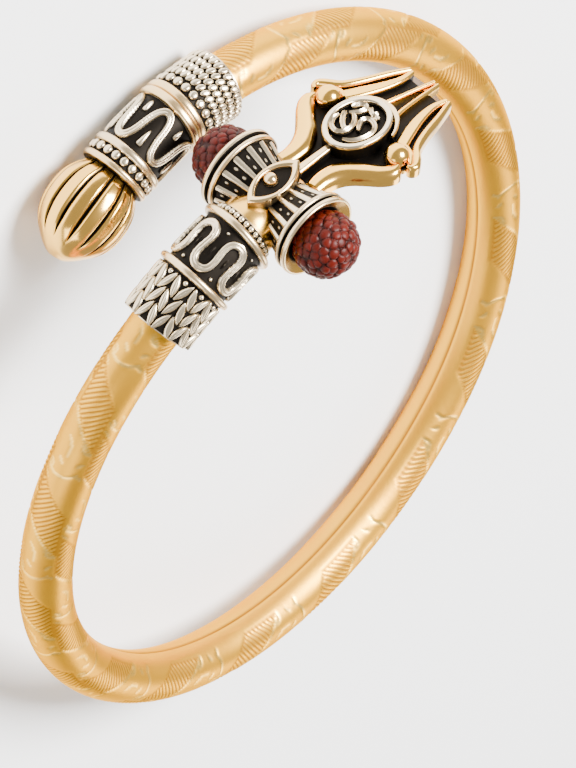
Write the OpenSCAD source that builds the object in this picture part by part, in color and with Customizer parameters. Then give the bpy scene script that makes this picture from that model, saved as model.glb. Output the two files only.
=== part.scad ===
// Kada: an open bypass bangle. A hollow tube is bent round the wrist, and its two ends pass each
// other. One end is capped with a beaded collar and a fluted bud. The other has a leaf-pattern
// collar, a damru (hourglass drum) with a rudraksha seed in each face, and a trishul (trident).
// Everything is modelled about the middle of the flat stretch of the tube, and then laid down the
// way the bangle lies on a table.

/* [Band] */
// Radius of the flat stretch of the band, at the middle of the tube
ring_r = 34.8; // [33:0.1:37]
// Outside diameter of the tube
tube_d = 5.4; // [5:0.1:5.5]
// Wall of the tube
tube_wall = 0.6; // [0.4:0.05:1]
// Bend radius of the arm that carries the trident
trident_arm_r = 34.4; // [33:0.1:37]
// Bend radius of the arm that ends in the bud
bud_arm_r = 34.3; // [33:0.1:37]
// Angle on the flat stretch where the trident arm begins
trident_arm_at = 5.6; // [0:0.1:12]
// Angle on the flat stretch where the bud arm begins
bud_arm_at = 100; // [92:0.5:104]
// Tilt of the trident arm out of the flat stretch
trident_arm_tilt = 7.9; // [7:0.1:10]
// Tilt of the bud arm, the other way
bud_arm_tilt = 7.7; // [7:0.1:10]

/* [Trident end] */
// Length of band from the start of the arm to the leaf collar
leaf_from = 55.5; // [52:0.1:58]
// Length of band from the start of the arm to the middle of the drum
drum_at = 72.5; // [72.3:0.1:73]
// Radius of the leaf collar below its leaves
leaf_sleeve_r = 3.6; // [3.5:0.05:3.7]
// Leaves round the collar in one row
leaf_count = 22; // [16:2:24]
// Rows of leaves along the collar
leaf_rows = 3; // [2:1:3]
// Turns of the meander wire round the dark panel
meander_turns = 6; // [5:1:8]
// Reach of the meander to each side of the middle of its panel
meander_reach = 1.9; // [1.4:0.05:2]
// Radius of the fine grains between the second ring and the dome
fine_grain_r = 0.28; // [0.2:0.02:0.32]

/* [Damru] */
// Radius of the drum's waist
waist_r = 2.4; // [2.2:0.05:2.6]
// Radius of the drum's rims
rim_r = 4.55; // [4.4:0.05:4.8]
// Distance from the waist to the outer edge of each rim
drum_half = 6; // [5.8:0.05:6.2]
// Ribs round each half of the drum
rib_count = 14; // [10:1:16]
// Radius of a rib
rib_r = 0.27; // [0.2:0.01:0.3]
// Radius of a rudraksha seed
seed_r = 3.55; // [3.2:0.05:3.6]
// Distance from the waist to the middle of each seed
seed_at = 7.15; // [6.9:0.05:7.3]

/* [Trident] */
// Bend radius of the trident, a little flatter than the band
trident_bend_r = 60; // [50:1:80]
// Height of the raised edges above the middle of the tube
edge_top = 2.2; // [2:0.05:2.4]
// Height of the dark sunk field
field_top = 1.3; // [1.1:0.05:1.5]
// Height of the underside
underside = 0.5; // [0.3:0.05:0.7]
// Width of the curled arms
curl_w = 1.9; // [1.5:0.05:2]
// Width of a prong's outer edge
prong_w = 0.85; // [0.6:0.05:0.95]
// Radius of the balls under the curled arms
curl_ball_r = 1.3; // [1.1:0.05:1.4]
// Distance from the drum to the middle of the medallion
medallion_at = 10.5; // [10.2:0.1:10.8]
// Half of the medallion's length and width, to the middle of its ring
medallion_half = [3.35, 2.65];
// Width of the medallion's ring
medallion_ring_w = 0.65; // [0.5:0.05:0.75]
// Height of the medallion's ring
medallion_top = 3.2; // [3:0.05:3.4]

/* [Eye plaque] */
// Half of the plaque's length
eye_half_l = 3.5; // [3.2:0.05:3.6]
// Half of the plaque's width
eye_half_w = 1.75; // [1.5:0.05:1.9]
// Width of its raised frame
eye_frame_w = 0.55; // [0.4:0.05:0.6]
// Height of the frame above the middle of the tube
eye_top = 3.75; // [3.6:0.05:4]

/* [Bud end] */
// Length of band from the start of the arm to the beaded collar
bead_from = 79.9; // [77:0.1:81]
// Radius of the beaded collar below its beads
bead_sleeve_r = 3.6; // [3.5:0.05:3.65]
// Small beads round the collar in one row
bead_count = 32; // [26:2:32]
// Rows of small beads
bead_rows = 4; // [3:1:4]
// Radius of a small bead
bead_r = 0.33; // [0.25:0.01:0.33]
// Grains round the collar beside the rings
grain_count = 21; // [16:1:22]
// Radius of a grain
grain_r = 0.46; // [0.35:0.01:0.5]
// Turns of the wave wire round the dark panel
wave_turns = 5; // [4:1:6]
// Reach of the wave to each side of the middle of its panel
wave_reach = 1.9; // [1.6:0.05:1.95]
// Flutes round the bud
flute_count = 14; // [10:1:16]
// Greatest radius of the bud
bud_r = 4.45; // [4:0.05:4.6]
// Length of the bud
bud_l = 9.6; // [9:0.1:10.5]

/* [Rest] */
// Turns about X and Y that lay the bangle down on its bud end and on the far side of its band
rest_turn = [-9.04, -1.77];
// Shift that brings the middle of the laid bangle's foot to the origin
rest_shift = [-0.24, 0.7, 8.28];

/* [Hidden] */

$fn = 48;

gold = "goldenrod";
silver = "silver";
seed_brown = "brown";

tube_r = tube_d / 2;
bore_r = tube_r - tube_wall;
// Clearance between two pieces that are fitted into each other
fit_gap = 0.1;
// Depth of the socket in each collar
socket_l = 4.5;
// Clearance between the tube and its socket
socket_gap = 0.06;

// Places along the trident end, measured from the start of its leaf collar
leaf_first = 0.95;
leaf_pitch = 1.62;
ring_b1 = 5.75;
panel_b_from = 6.1;
panel_b_to = 11.3;
ring_b2 = 11.7;
fine_grain_at = 12.4;
dome_from = 13;
dome_r = 3.2;
panel_b_r = 3.55;
ring_path_r = 3.85;
ring_wire_r = 0.38;
fine_grain_count = 30;

// Places along the bud end, measured from the start of its beaded collar
bead_pitch = 0.93;
bead_first = 0.6;
grain_a1 = 4.45;
ring_a1 = 5.55;
ring_a2 = 6.43;
wave_middle = 9.45;
ring_a3 = 12.5;
grain_a2 = 13.45;
ring_a4 = 14.3;
collar_a_l = 14.7;
panel_a_r = 3.4;
neck_a_r = 3.5;

// Radius of the wire laid in a wave, how far its middle stands out from the panel, and the turn at
// which the first wave starts
wave_wire_r = 0.36;
wire_rise = 0.05;
wave_start = -14.5;
// Width and height of the wire laid in a meander
meander_w = 0.72;
meander_rise = 0.42;
// Swing that narrows the foot of each loop of the meander, in degrees of one of its turns
meander_swing = 40;
// Turn at which the first loop starts
meander_start = 30.5;
meander_steps = 16;
// Steps of the curves on the leaf collar: round a whole bend, and round a wire or a grain
coarse_bend = 60;
coarse_wire = 6;

// Height and length of a leaf of the leaf collar, and half of its turn round the bar
leaf_rise = 0.38;
leaf_len = 1.72;
leaf_half_turn = 7.4;
// Turn of the first leaf of each row
leaf_start = 10;
// Radii of the wires of the beaded collar: the double ring, the ring at the neck and the last one
double_wire_r = 0.42;
neck_wire_r = 0.45;
end_wire_r = 0.35;

// The skin of a bent round bar: u runs along its middle line, turn goes round it
function bent(u, turn, r, bend) =
    let (phi = u / bend * 180 / PI, reach = bend + r * cos(turn))
    [reach * cos(phi) - bend, r * sin(turn), reach * sin(phi)];

function unit(v) = v / norm(v);

// A point between four control points, on the smooth curve through the middle two
function blend4(a, b, c, d, t) =
    0.5 * (2 * b + (c - a) * t + (2 * a - 5 * b + 4 * c - d) * t * t
        + (3 * b - a - 3 * c + d) * t * t * t);

// A smooth open curve through a list of points, with a number of steps between each two
function smooth(p, steps) =
    let (last = len(p) - 1)
    [for (i = [0:last - 1], k = [0:steps - 1])
        blend4(p[max(i - 1, 0)], p[i], p[i + 1], p[min(i + 2, last)], k / steps),
     p[last]];

// The quads between rings of points, closed round each ring, split into triangles
function skin_faces(rings, n, loop) =
    [for (i = [0:rings - (loop ? 1 : 2)], j = [0:n - 1], half = [0, 1])
        let (a = i * n, b = ((i + 1) % rings) * n, k = (j + 1) % n)
        half == 0 ? [a + j, b + j, b + k] : [a + j, b + k, a + k]];

// Places a child at a length along the trident arm: X outwards, Y up, Z along the arm
module on_trident_arm(s) {
    rotate([0, 0, trident_arm_at]) translate([ring_r, 0, 0]) rotate([0, trident_arm_tilt, 0])
        translate([-trident_arm_r, 0, 0]) rotate([0, 0, -s / trident_arm_r * 180 / PI])
            translate([trident_arm_r, 0, 0]) rotate([90, 0, 0]) children();
}

// Places a child at a length along the bud arm: X outwards, Y down, Z along the arm
module on_bud_arm(s) {
    rotate([0, 0, bud_arm_at]) translate([ring_r, 0, 0]) rotate([0, -bud_arm_tilt, 0])
        translate([-bud_arm_r, 0, 0]) rotate([0, 0, s / bud_arm_r * 180 / PI])
            translate([bud_arm_r, 0, 0]) rotate([-90, 0, 0]) children();
}

// Lays the finished bangle on the table
module laid() {
    translate(rest_shift) rotate([rest_turn[0], rest_turn[1], 0]) children();
}

// A place further along a bent bar, with Z along the bar there
module further(u, bend) {
    translate([-bend, 0, 0]) rotate([0, -u / bend * 180 / PI, 0]) translate([bend, 0, 0])
        children();
}

// A round bar bent to an arc, from one length to another
module bent_bar(from, to, r, bend, bend_steps = 180) {
    translate([-bend, 0, 0]) rotate([90, 0, 0]) rotate([0, 0, from / bend * 180 / PI])
        rotate_extrude(angle = (to - from) / bend * 180 / PI, $fn = bend_steps)
            translate([bend, 0]) circle(r);
}

// A ring of round wire about a bent bar
module wire_ring(u, bend, path_r, wire_r, sides = 24) {
    further(u, bend) rotate_extrude() translate([path_r, 0]) circle(wire_r, $fn = sides);
}

// A row of round grains about a bent bar
module grain_row(u, bend, path_r, r, count, start = 0, sides = 24) {
    further(u, bend)
        for (i = [0:count - 1])
            rotate([0, 0, start + i * 360 / count]) translate([path_r, 0, 0]) rotate([0, 90, 0])
                sphere(r, $fn = sides);
}

// A bar of round section between two points
module bar_between(a, b, r) {
    v = b - a;
    translate(a) rotate([0, acos(v[2] / norm(v)), atan2(v[1], v[0])])
        cylinder(r = r, h = norm(v), $fn = 16);
}

// A round wire laid in a closed wave about a bent bar, through [length, turn] places
module laid_wire(places, r, wire_r, bend) {
    n = len(places);
    for (i = [0:n - 1]) {
        here = places[i];
        next = places[(i + 1) % n];
        bar_between(bent(here[0], here[1], r, bend), bent(next[0], next[1], r, bend), wire_r);
        further(here[0], bend) rotate([0, 0, here[1]]) translate([r, 0, 0]) rotate([0, 90, 0])
            sphere(wire_r * 1.04, $fn = 16);
    }
}

// A wire of five sides laid in a closed wave about a bent bar, through [length, turn] places. It
// stands out from the radius r.
module flat_wire(places, r, width, rise, bend) {
    n = len(places);
    // Across and up offsets of the wire's corners, as shares of its width and height
    corners = [[-0.5, -0.5], [-0.46, 0.55], [0, 1], [0.46, 0.55], [0.5, -0.5]];
    middle = [for (p = places) bent(p[0], p[1], r, bend)];
    outer = [for (p = places) bent(p[0], p[1], r + 1, bend)];
    points = [for (i = [0:n - 1])
        let (up = unit(outer[i] - middle[i]),
             along = unit(middle[(i + 1) % n] - middle[(i + n - 1) % n]),
             across = unit(cross(along, up)))
        for (c = corners) middle[i] + across * c[0] * width + up * c[1] * rise];
    polyhedron(points, skin_faces(n, len(corners), true), convexity = 8);
}

// Part: the tube, in three arcs that run into each other
module tube_arc(bend, from, to, thinner = 0) {
    rotate([0, 0, from]) rotate_extrude(angle = to - from, $fn = 180) translate([bend, 0])
        difference() {
            circle(tube_r - thinner);
            circle(bore_r + thinner);
        }
}

// Each arm is a hair thinner than the flat stretch, and enters its wall by a small angle
module band() {
    enter = 0.1;
    thinner = 0.01;
    trident_sweep = (leaf_from + socket_l - fit_gap) / trident_arm_r * 180 / PI;
    bud_sweep = (bead_from + socket_l - fit_gap) / bud_arm_r * 180 / PI;
    color(gold) laid() union() {
        tube_arc(ring_r, trident_arm_at, bud_arm_at);
        rotate([0, 0, trident_arm_at]) translate([ring_r, 0, 0]) rotate([0, trident_arm_tilt, 0])
            translate([-trident_arm_r, 0, 0]) tube_arc(trident_arm_r, -trident_sweep, enter, thinner);
        rotate([0, 0, bud_arm_at]) translate([ring_r, 0, 0]) rotate([0, -bud_arm_tilt, 0])
            translate([-bud_arm_r, 0, 0]) tube_arc(bud_arm_r, -enter, bud_sweep, thinner);
    }
}

// One leaf of the leaf collar, a low ridge that leans to one side of the bar's length
module leaf(u, turn, lean, r, bend) {
    // Shares of the leaf's length, of its half turn and of its height, for each corner
    corners = [[-0.5, -0.8 * lean, -0.66], [-0.1, 0.62, -0.66], [0.5, 0.8 * lean, -0.66],
        [0.1, -0.62, -0.66], [-0.44, -0.7 * lean, 0.5], [-0.05, 0.34, 1], [0.44, 0.7 * lean, 0.5],
        [0.05, -0.34, 1]];
    hull() polyhedron([for (c = corners)
            bent(u + c[0] * leaf_len, turn + c[1] * leaf_half_turn, r + c[2] * leaf_rise, bend)],
        [[1, 3, 0], [1, 2, 3], [7, 5, 4], [7, 6, 5], [5, 1, 0], [4, 5, 0], [6, 2, 1], [5, 6, 1],
         [7, 3, 2], [6, 7, 2], [4, 0, 3], [7, 4, 3]]);
}

// The sleeve with its rows of leaves. It ends under the first ring.
module leaf_sleeve() {
    bent_bar(0, ring_b1 + ring_wire_r / 2, leaf_sleeve_r, trident_arm_r, coarse_bend);
    for (row = [0:leaf_rows - 1], k = [0:leaf_count - 1])
        leaf(leaf_first + row * leaf_pitch, leaf_start + k * 360 / leaf_count, k % 2 == 0 ? 1 : -1,
            leaf_sleeve_r, trident_arm_r);
}

// Loops that are round at the crest and narrow at the foot, as [length, turn]
function meander_places(mid) =
    let (n = meander_turns * meander_steps)
    [for (i = [0:n - 1])
        let (t = (i + 0.3) * 360 / n, w = t * meander_turns)
        [mid + meander_reach * sin(w),
         meander_start + t - meander_swing / meander_turns * sin(2 * w)]];

// Part: the leaf collar, with its rings, meander panel and dome
module trident_collar() {
    $fn = 32;
    color(silver) laid() on_trident_arm(leaf_from) difference() {
        union() {
            leaf_sleeve();
            bent_bar(ring_b1, ring_b2, panel_b_r, trident_arm_r, coarse_bend);
            // The neck starts inside the panel's end and runs a little way into the dome
            bent_bar(panel_b_to, dome_from + 0.1, dome_r - 0.01, trident_arm_r, coarse_bend);
            wire_ring(ring_b1, trident_arm_r, ring_path_r, ring_wire_r, coarse_wire);
            wire_ring(ring_b2, trident_arm_r, ring_path_r, ring_wire_r, coarse_wire);
            grain_row(fine_grain_at, trident_arm_r, dome_r, fine_grain_r, fine_grain_count,
                sides = coarse_wire);
            further(dome_from, trident_arm_r) dome();
            flat_wire(meander_places((panel_b_from + panel_b_to) / 2), panel_b_r, meander_w,
                meander_rise, trident_arm_r);
        }
        bent_bar(-1, socket_l, tube_r + socket_gap, trident_arm_r, coarse_bend);
        further(drum_at - leaf_from, trident_arm_r) drum_space();
    }
}

// The rounded shoulder that runs into the drum's waist, or the room for it with a gap added
module dome(gap = 0) {
    dome_l = drum_at - leaf_from - dome_from;
    rotate_extrude() intersection() {
        translate([0, -gap]) square([dome_r + gap, dome_l + gap]);
        circle(dome_r + gap);
    }
}

// Part: the drum, with its axis across the arm
module about_drum_axis() {
    rotate([-90, 0, 0]) children();
}

// Half of the drum's outline, as [radius, distance from the waist]
groove_r = rim_r - 0.4;
cone_end = drum_half - 1.55;
lip_from = drum_half - 0.6;
cone_r = rim_r - 0.6;
drum_outline = [[waist_r, 0], [waist_r + 0.1, 0.5], [cone_r, cone_end], [rim_r - 0.1, cone_end + 0.1],
    [rim_r - 0.05, cone_end + 0.55], [groove_r, cone_end + 0.6], [groove_r, lip_from],
    [rim_r, lip_from + 0.1], [rim_r, drum_half - 0.1], [rim_r - 0.15, drum_half]];

module drum_half_solid() {
    rotate_extrude($fn = 96) polygon(concat([[0, 0]], drum_outline, [[0, drum_half]]));
}

// The drum with the fitting gap all round, cut out of the pieces that seat against it
module drum_space() {
    g = fit_gap;
    about_drum_axis() for (side = [0, 1]) mirror([0, 0, side])
        rotate_extrude($fn = 48) polygon([[0, 0], [waist_r + g, 0], [waist_r + 0.12 + g, 0.45],
            [waist_r + 0.2 + rib_r + g, 0.55], [cone_r + rib_r + 0.15 + g, cone_end - 0.2],
            [rim_r + g, cone_end - 0.1], [rim_r + g, drum_half], [0, drum_half]]);
}

module rib() {
    foot = [waist_r + 0.12, 0.7];
    head = [cone_r - 0.02, cone_end + 0.2];
    lean = atan2(head[0] - foot[0], head[1] - foot[1]);
    translate([foot[0], 0, foot[1]]) rotate([0, lean, 0])
        cylinder(r = rib_r, h = norm(head - foot), $fn = 16);
}

module damru() {
    cup_r = seed_r + fit_gap;
    color(silver) laid() on_trident_arm(drum_at) about_drum_axis()
        for (side = [0, 1]) mirror([0, 0, side]) difference() {
            union() {
                drum_half_solid();
                for (i = [0:rib_count - 1]) rotate([0, 0, (i + 0.5) * 360 / rib_count]) rib();
            }
            translate([0, 0, seed_at]) sphere(cup_r, $fn = 96);
            translate([0, 0, drum_half - 0.55]) cylinder(r1 = rim_r - 1, r2 = rim_r - 0.3, h = 0.6);
        }
}

// Part: a rudraksha seed, five-lobed and knobbly, in each face of the drum
module seed() {
    round_steps = 30;
    rings = 13;
    // Five lobes round the seed, and small knobs between them
    function knob(lat, turn) = 0.025 * cos(5 * turn) * cos(lat)
        + 0.03 * sin(9 * turn + 200 * sin(2 * lat)) * cos(lat) * sin(7 * lat);
    points = [for (i = [0:rings - 1], j = [0:round_steps - 1])
        let (lat = -84 + i * 168 / (rings - 1), turn = j * 360 / round_steps,
             r = seed_r * (0.955 + knob(lat, turn)))
        [r * cos(lat) * cos(turn), r * cos(lat) * sin(turn), r * 0.97 * sin(lat)]];
    polyhedron(points, concat([[for (k = [0:round_steps - 1]) k]],
        skin_faces(rings, round_steps, false),
        [[for (k = [round_steps - 1:-1:0]) (rings - 1) * round_steps + k]]), convexity = 4);
}

module rudraksha_upper() {
    color(seed_brown) laid() on_trident_arm(drum_at) about_drum_axis()
        translate([0, 0, seed_at]) seed();
}

module rudraksha_lower() {
    color(seed_brown) laid() on_trident_arm(drum_at) about_drum_axis()
        translate([0, 0, -seed_at]) rotate([180, 0, 0]) seed();
}

// Part: the eye plaque over the drum's waist
module eye_outline(l, w) {
    r = (l * l + w * w) / (2 * w);
    intersection() {
        translate([0, r - w]) circle(r, $fn = 96);
        translate([0, w - r]) circle(r, $fn = 96);
    }
}

module eye_plaque() {
    floor_top = eye_top - 0.5;
    ball_r = 0.72;
    inner_l = eye_half_l - eye_frame_w * 2;
    inner_w = eye_half_w - eye_frame_w;
    color(gold) laid() on_trident_arm(drum_at) difference() {
        rotate([0, 90, 0]) union() {
            difference() {
                translate([0, 0, waist_r - 0.4]) linear_extrude(eye_top - waist_r + 0.4)
                    eye_outline(eye_half_l, eye_half_w);
                translate([0, 0, floor_top]) linear_extrude(1)
                    eye_outline(inner_l, inner_w);
            }
            translate([0, 0, floor_top + 0.1]) sphere(ball_r, $fn = 32);
        }
        drum_space();
        further(leaf_from + dome_from - drum_at, trident_arm_r) dome(fit_gap);
    }
}

// Part: the trident
// A place on the trident: s along it from the drum, w across it, h above the middle of the tube
function on_face(s, w, h) =
    let (turn = s / trident_bend_r * 180 / PI, reach = trident_bend_r + h)
    [reach * cos(turn) - trident_bend_r, w, reach * sin(turn)];

// A strip along [s, w, width] places. Its section is a list of [share of the width, height].
module strip(places, section, loop = false) {
    n = len(places);
    m = len(section);
    last = n - 1;
    points = [for (i = [0:last])
        let (here = places[i],
             before = places[loop ? (i + last) % n : max(i - 1, 0)],
             after = places[loop ? (i + 1) % n : min(i + 1, last)],
             along = unit([after[0] - before[0], after[1] - before[1]]))
        for (c = section)
            on_face(here[0] - along[1] * c[0] * here[2], here[1] + along[0] * c[0] * here[2], c[1])];
    near = [for (k = [1:m - 2]) [0, k, k + 1]];
    far = [for (k = [1:m - 2]) [last * m, last * m + k + 1, last * m + k]];
    polyhedron(points, concat(skin_faces(n, m, loop), loop ? [] : near, loop ? [] : far),
        convexity = 6);
}

// The section of a strip with a round top, and of one with a flat top and eased edges
function domed(low, top) = [[-0.5, low], [-0.5, top - 0.6], [-0.3, top - 0.14], [0, top],
    [0.3, top - 0.14], [0.5, top - 0.6], [0.5, low]];
function eased(low, top) = [[-0.5, low], [-0.5, top - 0.22], [-0.26, top], [0.26, top],
    [0.5, top - 0.22], [0.5, low]];
function plain(low, top) = [[-0.5, low], [-0.5, top], [0.5, top], [0.5, low]];

// A curled arm of the trident, from the drum out to its crest
curl_way = [[2.9, 2.2], [4.2, 2.15], [5.6, 2.35], [6.8, 3.15], [7.8, 4.3], [8.8, 5.45],
    [9.7, 6.05], [10.4, 5.9]];
// The outer edge of a side prong, from its hook beside the ball to its tip
outer_way = [[11.1, 6.9], [11.6, 7], [12.2, 6.6], [12.8, 5.95], [13.5, 5.35], [15.4, 4.45],
    [17.8, 3.65], [20.2, 2.75]];
// The inner edge of a side prong
inner_way = [[12.7, 4.1], [14.2, 3.45], [16.2, 2.7], [18.3, 2.3], [20.2, 2.6]];
// One edge of the middle prong
middle_way = [[14, 1.25], [15.6, 0.82], [18, 0.55], [21.1, 0.18]];
// The edge of the dark field, as [s, half width]
field_edge = [[2.9, 1.9], [5.4, 2.2], [7, 3.2], [8.4, 4.8], [9.8, 5.9], [11.3, 6.4], [12.4, 6],
    [14, 5], [16, 4.2], [18, 3.5], [19.4, 2.9]];
// Place of the ball between a curled arm and the hook of its prong, and the height of its middle
curl_ball_at = [11.25, 4.9];
curl_ball_h = edge_top - 0.35;

function with_width(way, w0, w1) =
    let (n = len(way) - 1)
    [for (i = [0:n]) [way[i][0], way[i][1], w0 + (w1 - w0) * i / n]];

function oval(mid, half, n) =
    [for (i = [0:n - 1]) [mid + half[0] * cos(i * 360 / n), half[1] * sin(i * 360 / n)]];

// The oval ring and the floor inside it, a strip from one end of the oval to the other
module medallion() {
    sides = 32;
    floor_top = medallion_top - 0.65;
    floor_steps = sides / 2;
    // The ends of the floor stop within the ring, and have this half width
    end_inset = 0.05;
    end_half = 0.3;
    strip(with_width(oval(medallion_at, medallion_half, sides), medallion_ring_w, medallion_ring_w),
        eased(underside + 0.06, medallion_top), loop = true);
    strip([for (i = [0:floor_steps])
            let (t = 180 - i * 180 / floor_steps, reach = 1 - end_inset * abs(cos(t)))
            [medallion_at + medallion_half[0] * cos(t) * reach,
             0, 2 * max(end_half, medallion_half[1] * sin(t))]], plain(underside + 0.11, floor_top));
}

// The sacred syllable on the medallion, in plain strokes. Places are [along, across] from the
// middle of the medallion.
om_h = medallion_top - 0.1;
om_low = medallion_top - 0.8;
om_w = 0.5;
om_strokes = [
    // The bowl of the figure and the stem in it
    [[-0.55, -2], [-1.3, -1.95], [-1.95, -1.5], [-2.15, -0.8], [-1.85, -0.25], [-1.2, 0],
        [-0.4, -0.15], [0.2, -0.6], [0.5, -1.2]],
    [[0.15, -1.85], [-0.45, -1.5], [-1.15, -0.75], [-1.3, -0.2]],
    // The hook that leaves the bowl
    [[0.3, -1.5], [1.1, -0.95], [1.75, -0.78], [2.1, -1.05], [1.95, -1.5], [1.5, -1.75], [1, -1.95]],
    // The long tail
    [[-0.55, 0.8], [-0.05, 0.33], [0.55, 0.05], [1.1, 0.2], [1.25, 0.75], [1, 1.4], [0.4, 1.8],
        [-0.4, 1.85], [-1.2, 1.6], [-1.85, 1.2], [-2.35, 0.55]],
    // The crescent and its dot, run together
    [[2.3, -0.6], [1.95, -0.15], [1.95, 0.25], [2.35, 0.4]],
    [[1.6, 0.27], [1.85, 0.55], [1.85, 1]]];

module om_sign() {
    for (i = [0:len(om_strokes) - 1])
        strip(with_width([for (p = smooth(om_strokes[i], 2)) p + [medallion_at, 0]], om_w, om_w * 0.9),
            eased(om_low - 0.01 * i, om_h - 0.02 * i));
}

// One side of the trident: a curled arm, a ball and the edges of a prong. Each foot and top has its
// own height.
module trident_side() {
    strip(with_width(smooth(curl_way, 2), curl_w, curl_w * 0.75), domed(underside + 0.12, edge_top));
    strip(with_width(smooth(outer_way, 2), prong_w, prong_w * 0.75),
        eased(underside + 0.17, edge_top - 0.12));
    strip(with_width(smooth(inner_way, 2), prong_w * 1.5, prong_w * 0.6),
        eased(underside + 0.22, edge_top - 0.2));
    strip(with_width(smooth(middle_way, 2), prong_w * 0.8, prong_w * 0.6),
        eased(underside + 0.27, edge_top - 0.27));
    translate(on_face(curl_ball_at[0], curl_ball_at[1], curl_ball_h)) sphere(curl_ball_r, $fn = 24);
}

module trident() {
    color(gold) laid() on_trident_arm(drum_at) difference() {
        union() {
            strip([for (e = field_edge) [e[0], 0, 2 * e[1]]], plain(underside, field_top));
            for (side = [0, 1]) mirror([0, side, 0]) trident_side();
            strip([[3, 0, 0.9], [5, 0, 0.85], [7.5, 0, 0.8]], eased(underside + 0.31, edge_top + 0.2));
            medallion();
            om_sign();
        }
        drum_space();
        eye_space();
    }
}

// Room for the plaque's point where it stands over the trident
module eye_space() {
    g = fit_gap;
    rotate([0, 90, 0]) translate([0, 0, waist_r - 0.4 - g]) linear_extrude(eye_top)
        eye_outline(eye_half_l + 2 * g, eye_half_w + g);
}

// Part: the beaded collar of the bud end, with its rings and wave panel
function wave_places(mid) =
    let (n = wave_turns * 8)
    [for (i = [0:n - 1])
        let (t = (i + 0.5) * 360 / n, w = t * wave_turns)
        [mid + wave_reach * (sin(w) * 1.06 - 0.06 * sin(3 * w)), wave_start + t]];

module bud_collar() {
    color(silver) laid() on_bud_arm(bead_from) difference() {
        union() {
            // The steps between the three stretches lie under rings
            bent_bar(0, ring_a2, bead_sleeve_r, bud_arm_r);
            bent_bar(ring_a2, ring_a3, panel_a_r, bud_arm_r);
            bent_bar(ring_a3, collar_a_l, neck_a_r, bud_arm_r);
            for (row = [0:bead_rows - 1])
                grain_row(bead_first + row * bead_pitch, bud_arm_r, bead_sleeve_r, bead_r, bead_count);
            grain_row(grain_a1, bud_arm_r, bead_sleeve_r, grain_r, grain_count);
            wire_ring(ring_a1, bud_arm_r, bead_sleeve_r, double_wire_r);
            wire_ring(ring_a2, bud_arm_r, bead_sleeve_r, double_wire_r);
            laid_wire(wave_places(wave_middle), panel_a_r + wire_rise, wave_wire_r,
                bud_arm_r);
            wire_ring(ring_a3, bud_arm_r, neck_a_r, neck_wire_r);
            grain_row(grain_a2, bud_arm_r, neck_a_r, grain_r * 0.92, grain_count);
            wire_ring(ring_a4, bud_arm_r, neck_a_r, end_wire_r);
        }
        bent_bar(-1, socket_l, tube_r + socket_gap, bud_arm_r);
    }
}

// Part: the fluted bud
// The bud's outline, as [share of its length, share of its greatest radius]
bud_outline = [[0, 0.7], [0.04, 0.74], [0.1, 0.84], [0.2, 0.94], [0.32, 0.99], [0.42, 1],
    [0.52, 0.985], [0.62, 0.93], [0.71, 0.84], [0.79, 0.71], [0.86, 0.56], [0.92, 0.41],
    [0.965, 0.26], [0.99, 0.12]];
flute_steps = 6;
flute_depth = 0.1;

// Depth of the grooves at a share of the bud's length, deepest at the foot and gone at the tip
function groove_at(share) = share > 0.8 ? 0 : flute_depth * min(1, (0.8 - share) / 0.2);

// A flute is round on top and sharp in the groove
function flute(share, turn) =
    1 - groove_at(share) * pow(abs(cos(turn * flute_count / 2)), 6);

module bud() {
    round_steps = flute_count * flute_steps;
    rings = len(bud_outline);
    start = bead_from + collar_a_l + fit_gap;
    points = [for (p = bud_outline, k = [0:round_steps - 1])
        let (turn = k * 360 / round_steps)
        bent(p[0] * bud_l, turn, p[1] * bud_r * flute(p[0], turn), bud_arm_r)];
    color(gold) laid() on_bud_arm(start)
        polyhedron(points, concat([[for (k = [0:round_steps - 1]) k]],
            skin_faces(rings, round_steps, false),
            [[for (k = [round_steps - 1:-1:0]) (rings - 1) * round_steps + k]]), convexity = 6);
}

band();
trident_collar();
damru();
eye_plaque();
trident();
rudraksha_upper();
rudraksha_lower();
bud_collar();
bud();
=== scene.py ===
# %% [markdown]
# # A kada, an open bangle whose two ends pass each other
#
# A kada of this kind is a gold plated tube, bent round the wrist and chased with a graver. One end
# is capped by a cast collar and a fluted bud. The other carries a collar of leaves, a small drum
# with a seed in each face, and a trident. This file dresses the measured model with the fine work
# of the chaser and the caster: every piece is a surface that numpy works out from a formula.
#
# First comes the measured model itself, which gives the size and the place of each part.

# %% The measured model
import math

import bpy
import numpy as np
from mathutils import Matrix, Vector


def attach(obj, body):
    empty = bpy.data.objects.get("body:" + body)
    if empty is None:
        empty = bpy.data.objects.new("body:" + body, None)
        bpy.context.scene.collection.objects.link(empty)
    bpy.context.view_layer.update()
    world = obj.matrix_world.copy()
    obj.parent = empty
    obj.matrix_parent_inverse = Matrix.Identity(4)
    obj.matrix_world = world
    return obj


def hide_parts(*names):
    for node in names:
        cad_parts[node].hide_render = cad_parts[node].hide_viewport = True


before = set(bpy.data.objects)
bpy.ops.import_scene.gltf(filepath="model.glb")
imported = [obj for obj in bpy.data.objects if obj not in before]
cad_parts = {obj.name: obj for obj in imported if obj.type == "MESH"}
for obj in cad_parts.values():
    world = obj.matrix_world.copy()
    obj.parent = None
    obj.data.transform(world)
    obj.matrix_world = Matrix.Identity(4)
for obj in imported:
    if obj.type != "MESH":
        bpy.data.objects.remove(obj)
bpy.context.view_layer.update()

print("measured parts:", sorted(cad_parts))

# %% [markdown]
# ## Where things are
#
# The bangle is three arcs of one tube. The middle arc is flat, and each end arc is tilted out of
# it, which is how the two ends come to pass each other. All the work below is done in millimetres
# in simple coordinates of its own, such as the length along an arm and the angle round it. A 4x4
# matrix then takes each piece to its place, and a last one lays the whole bangle on the table.

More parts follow.
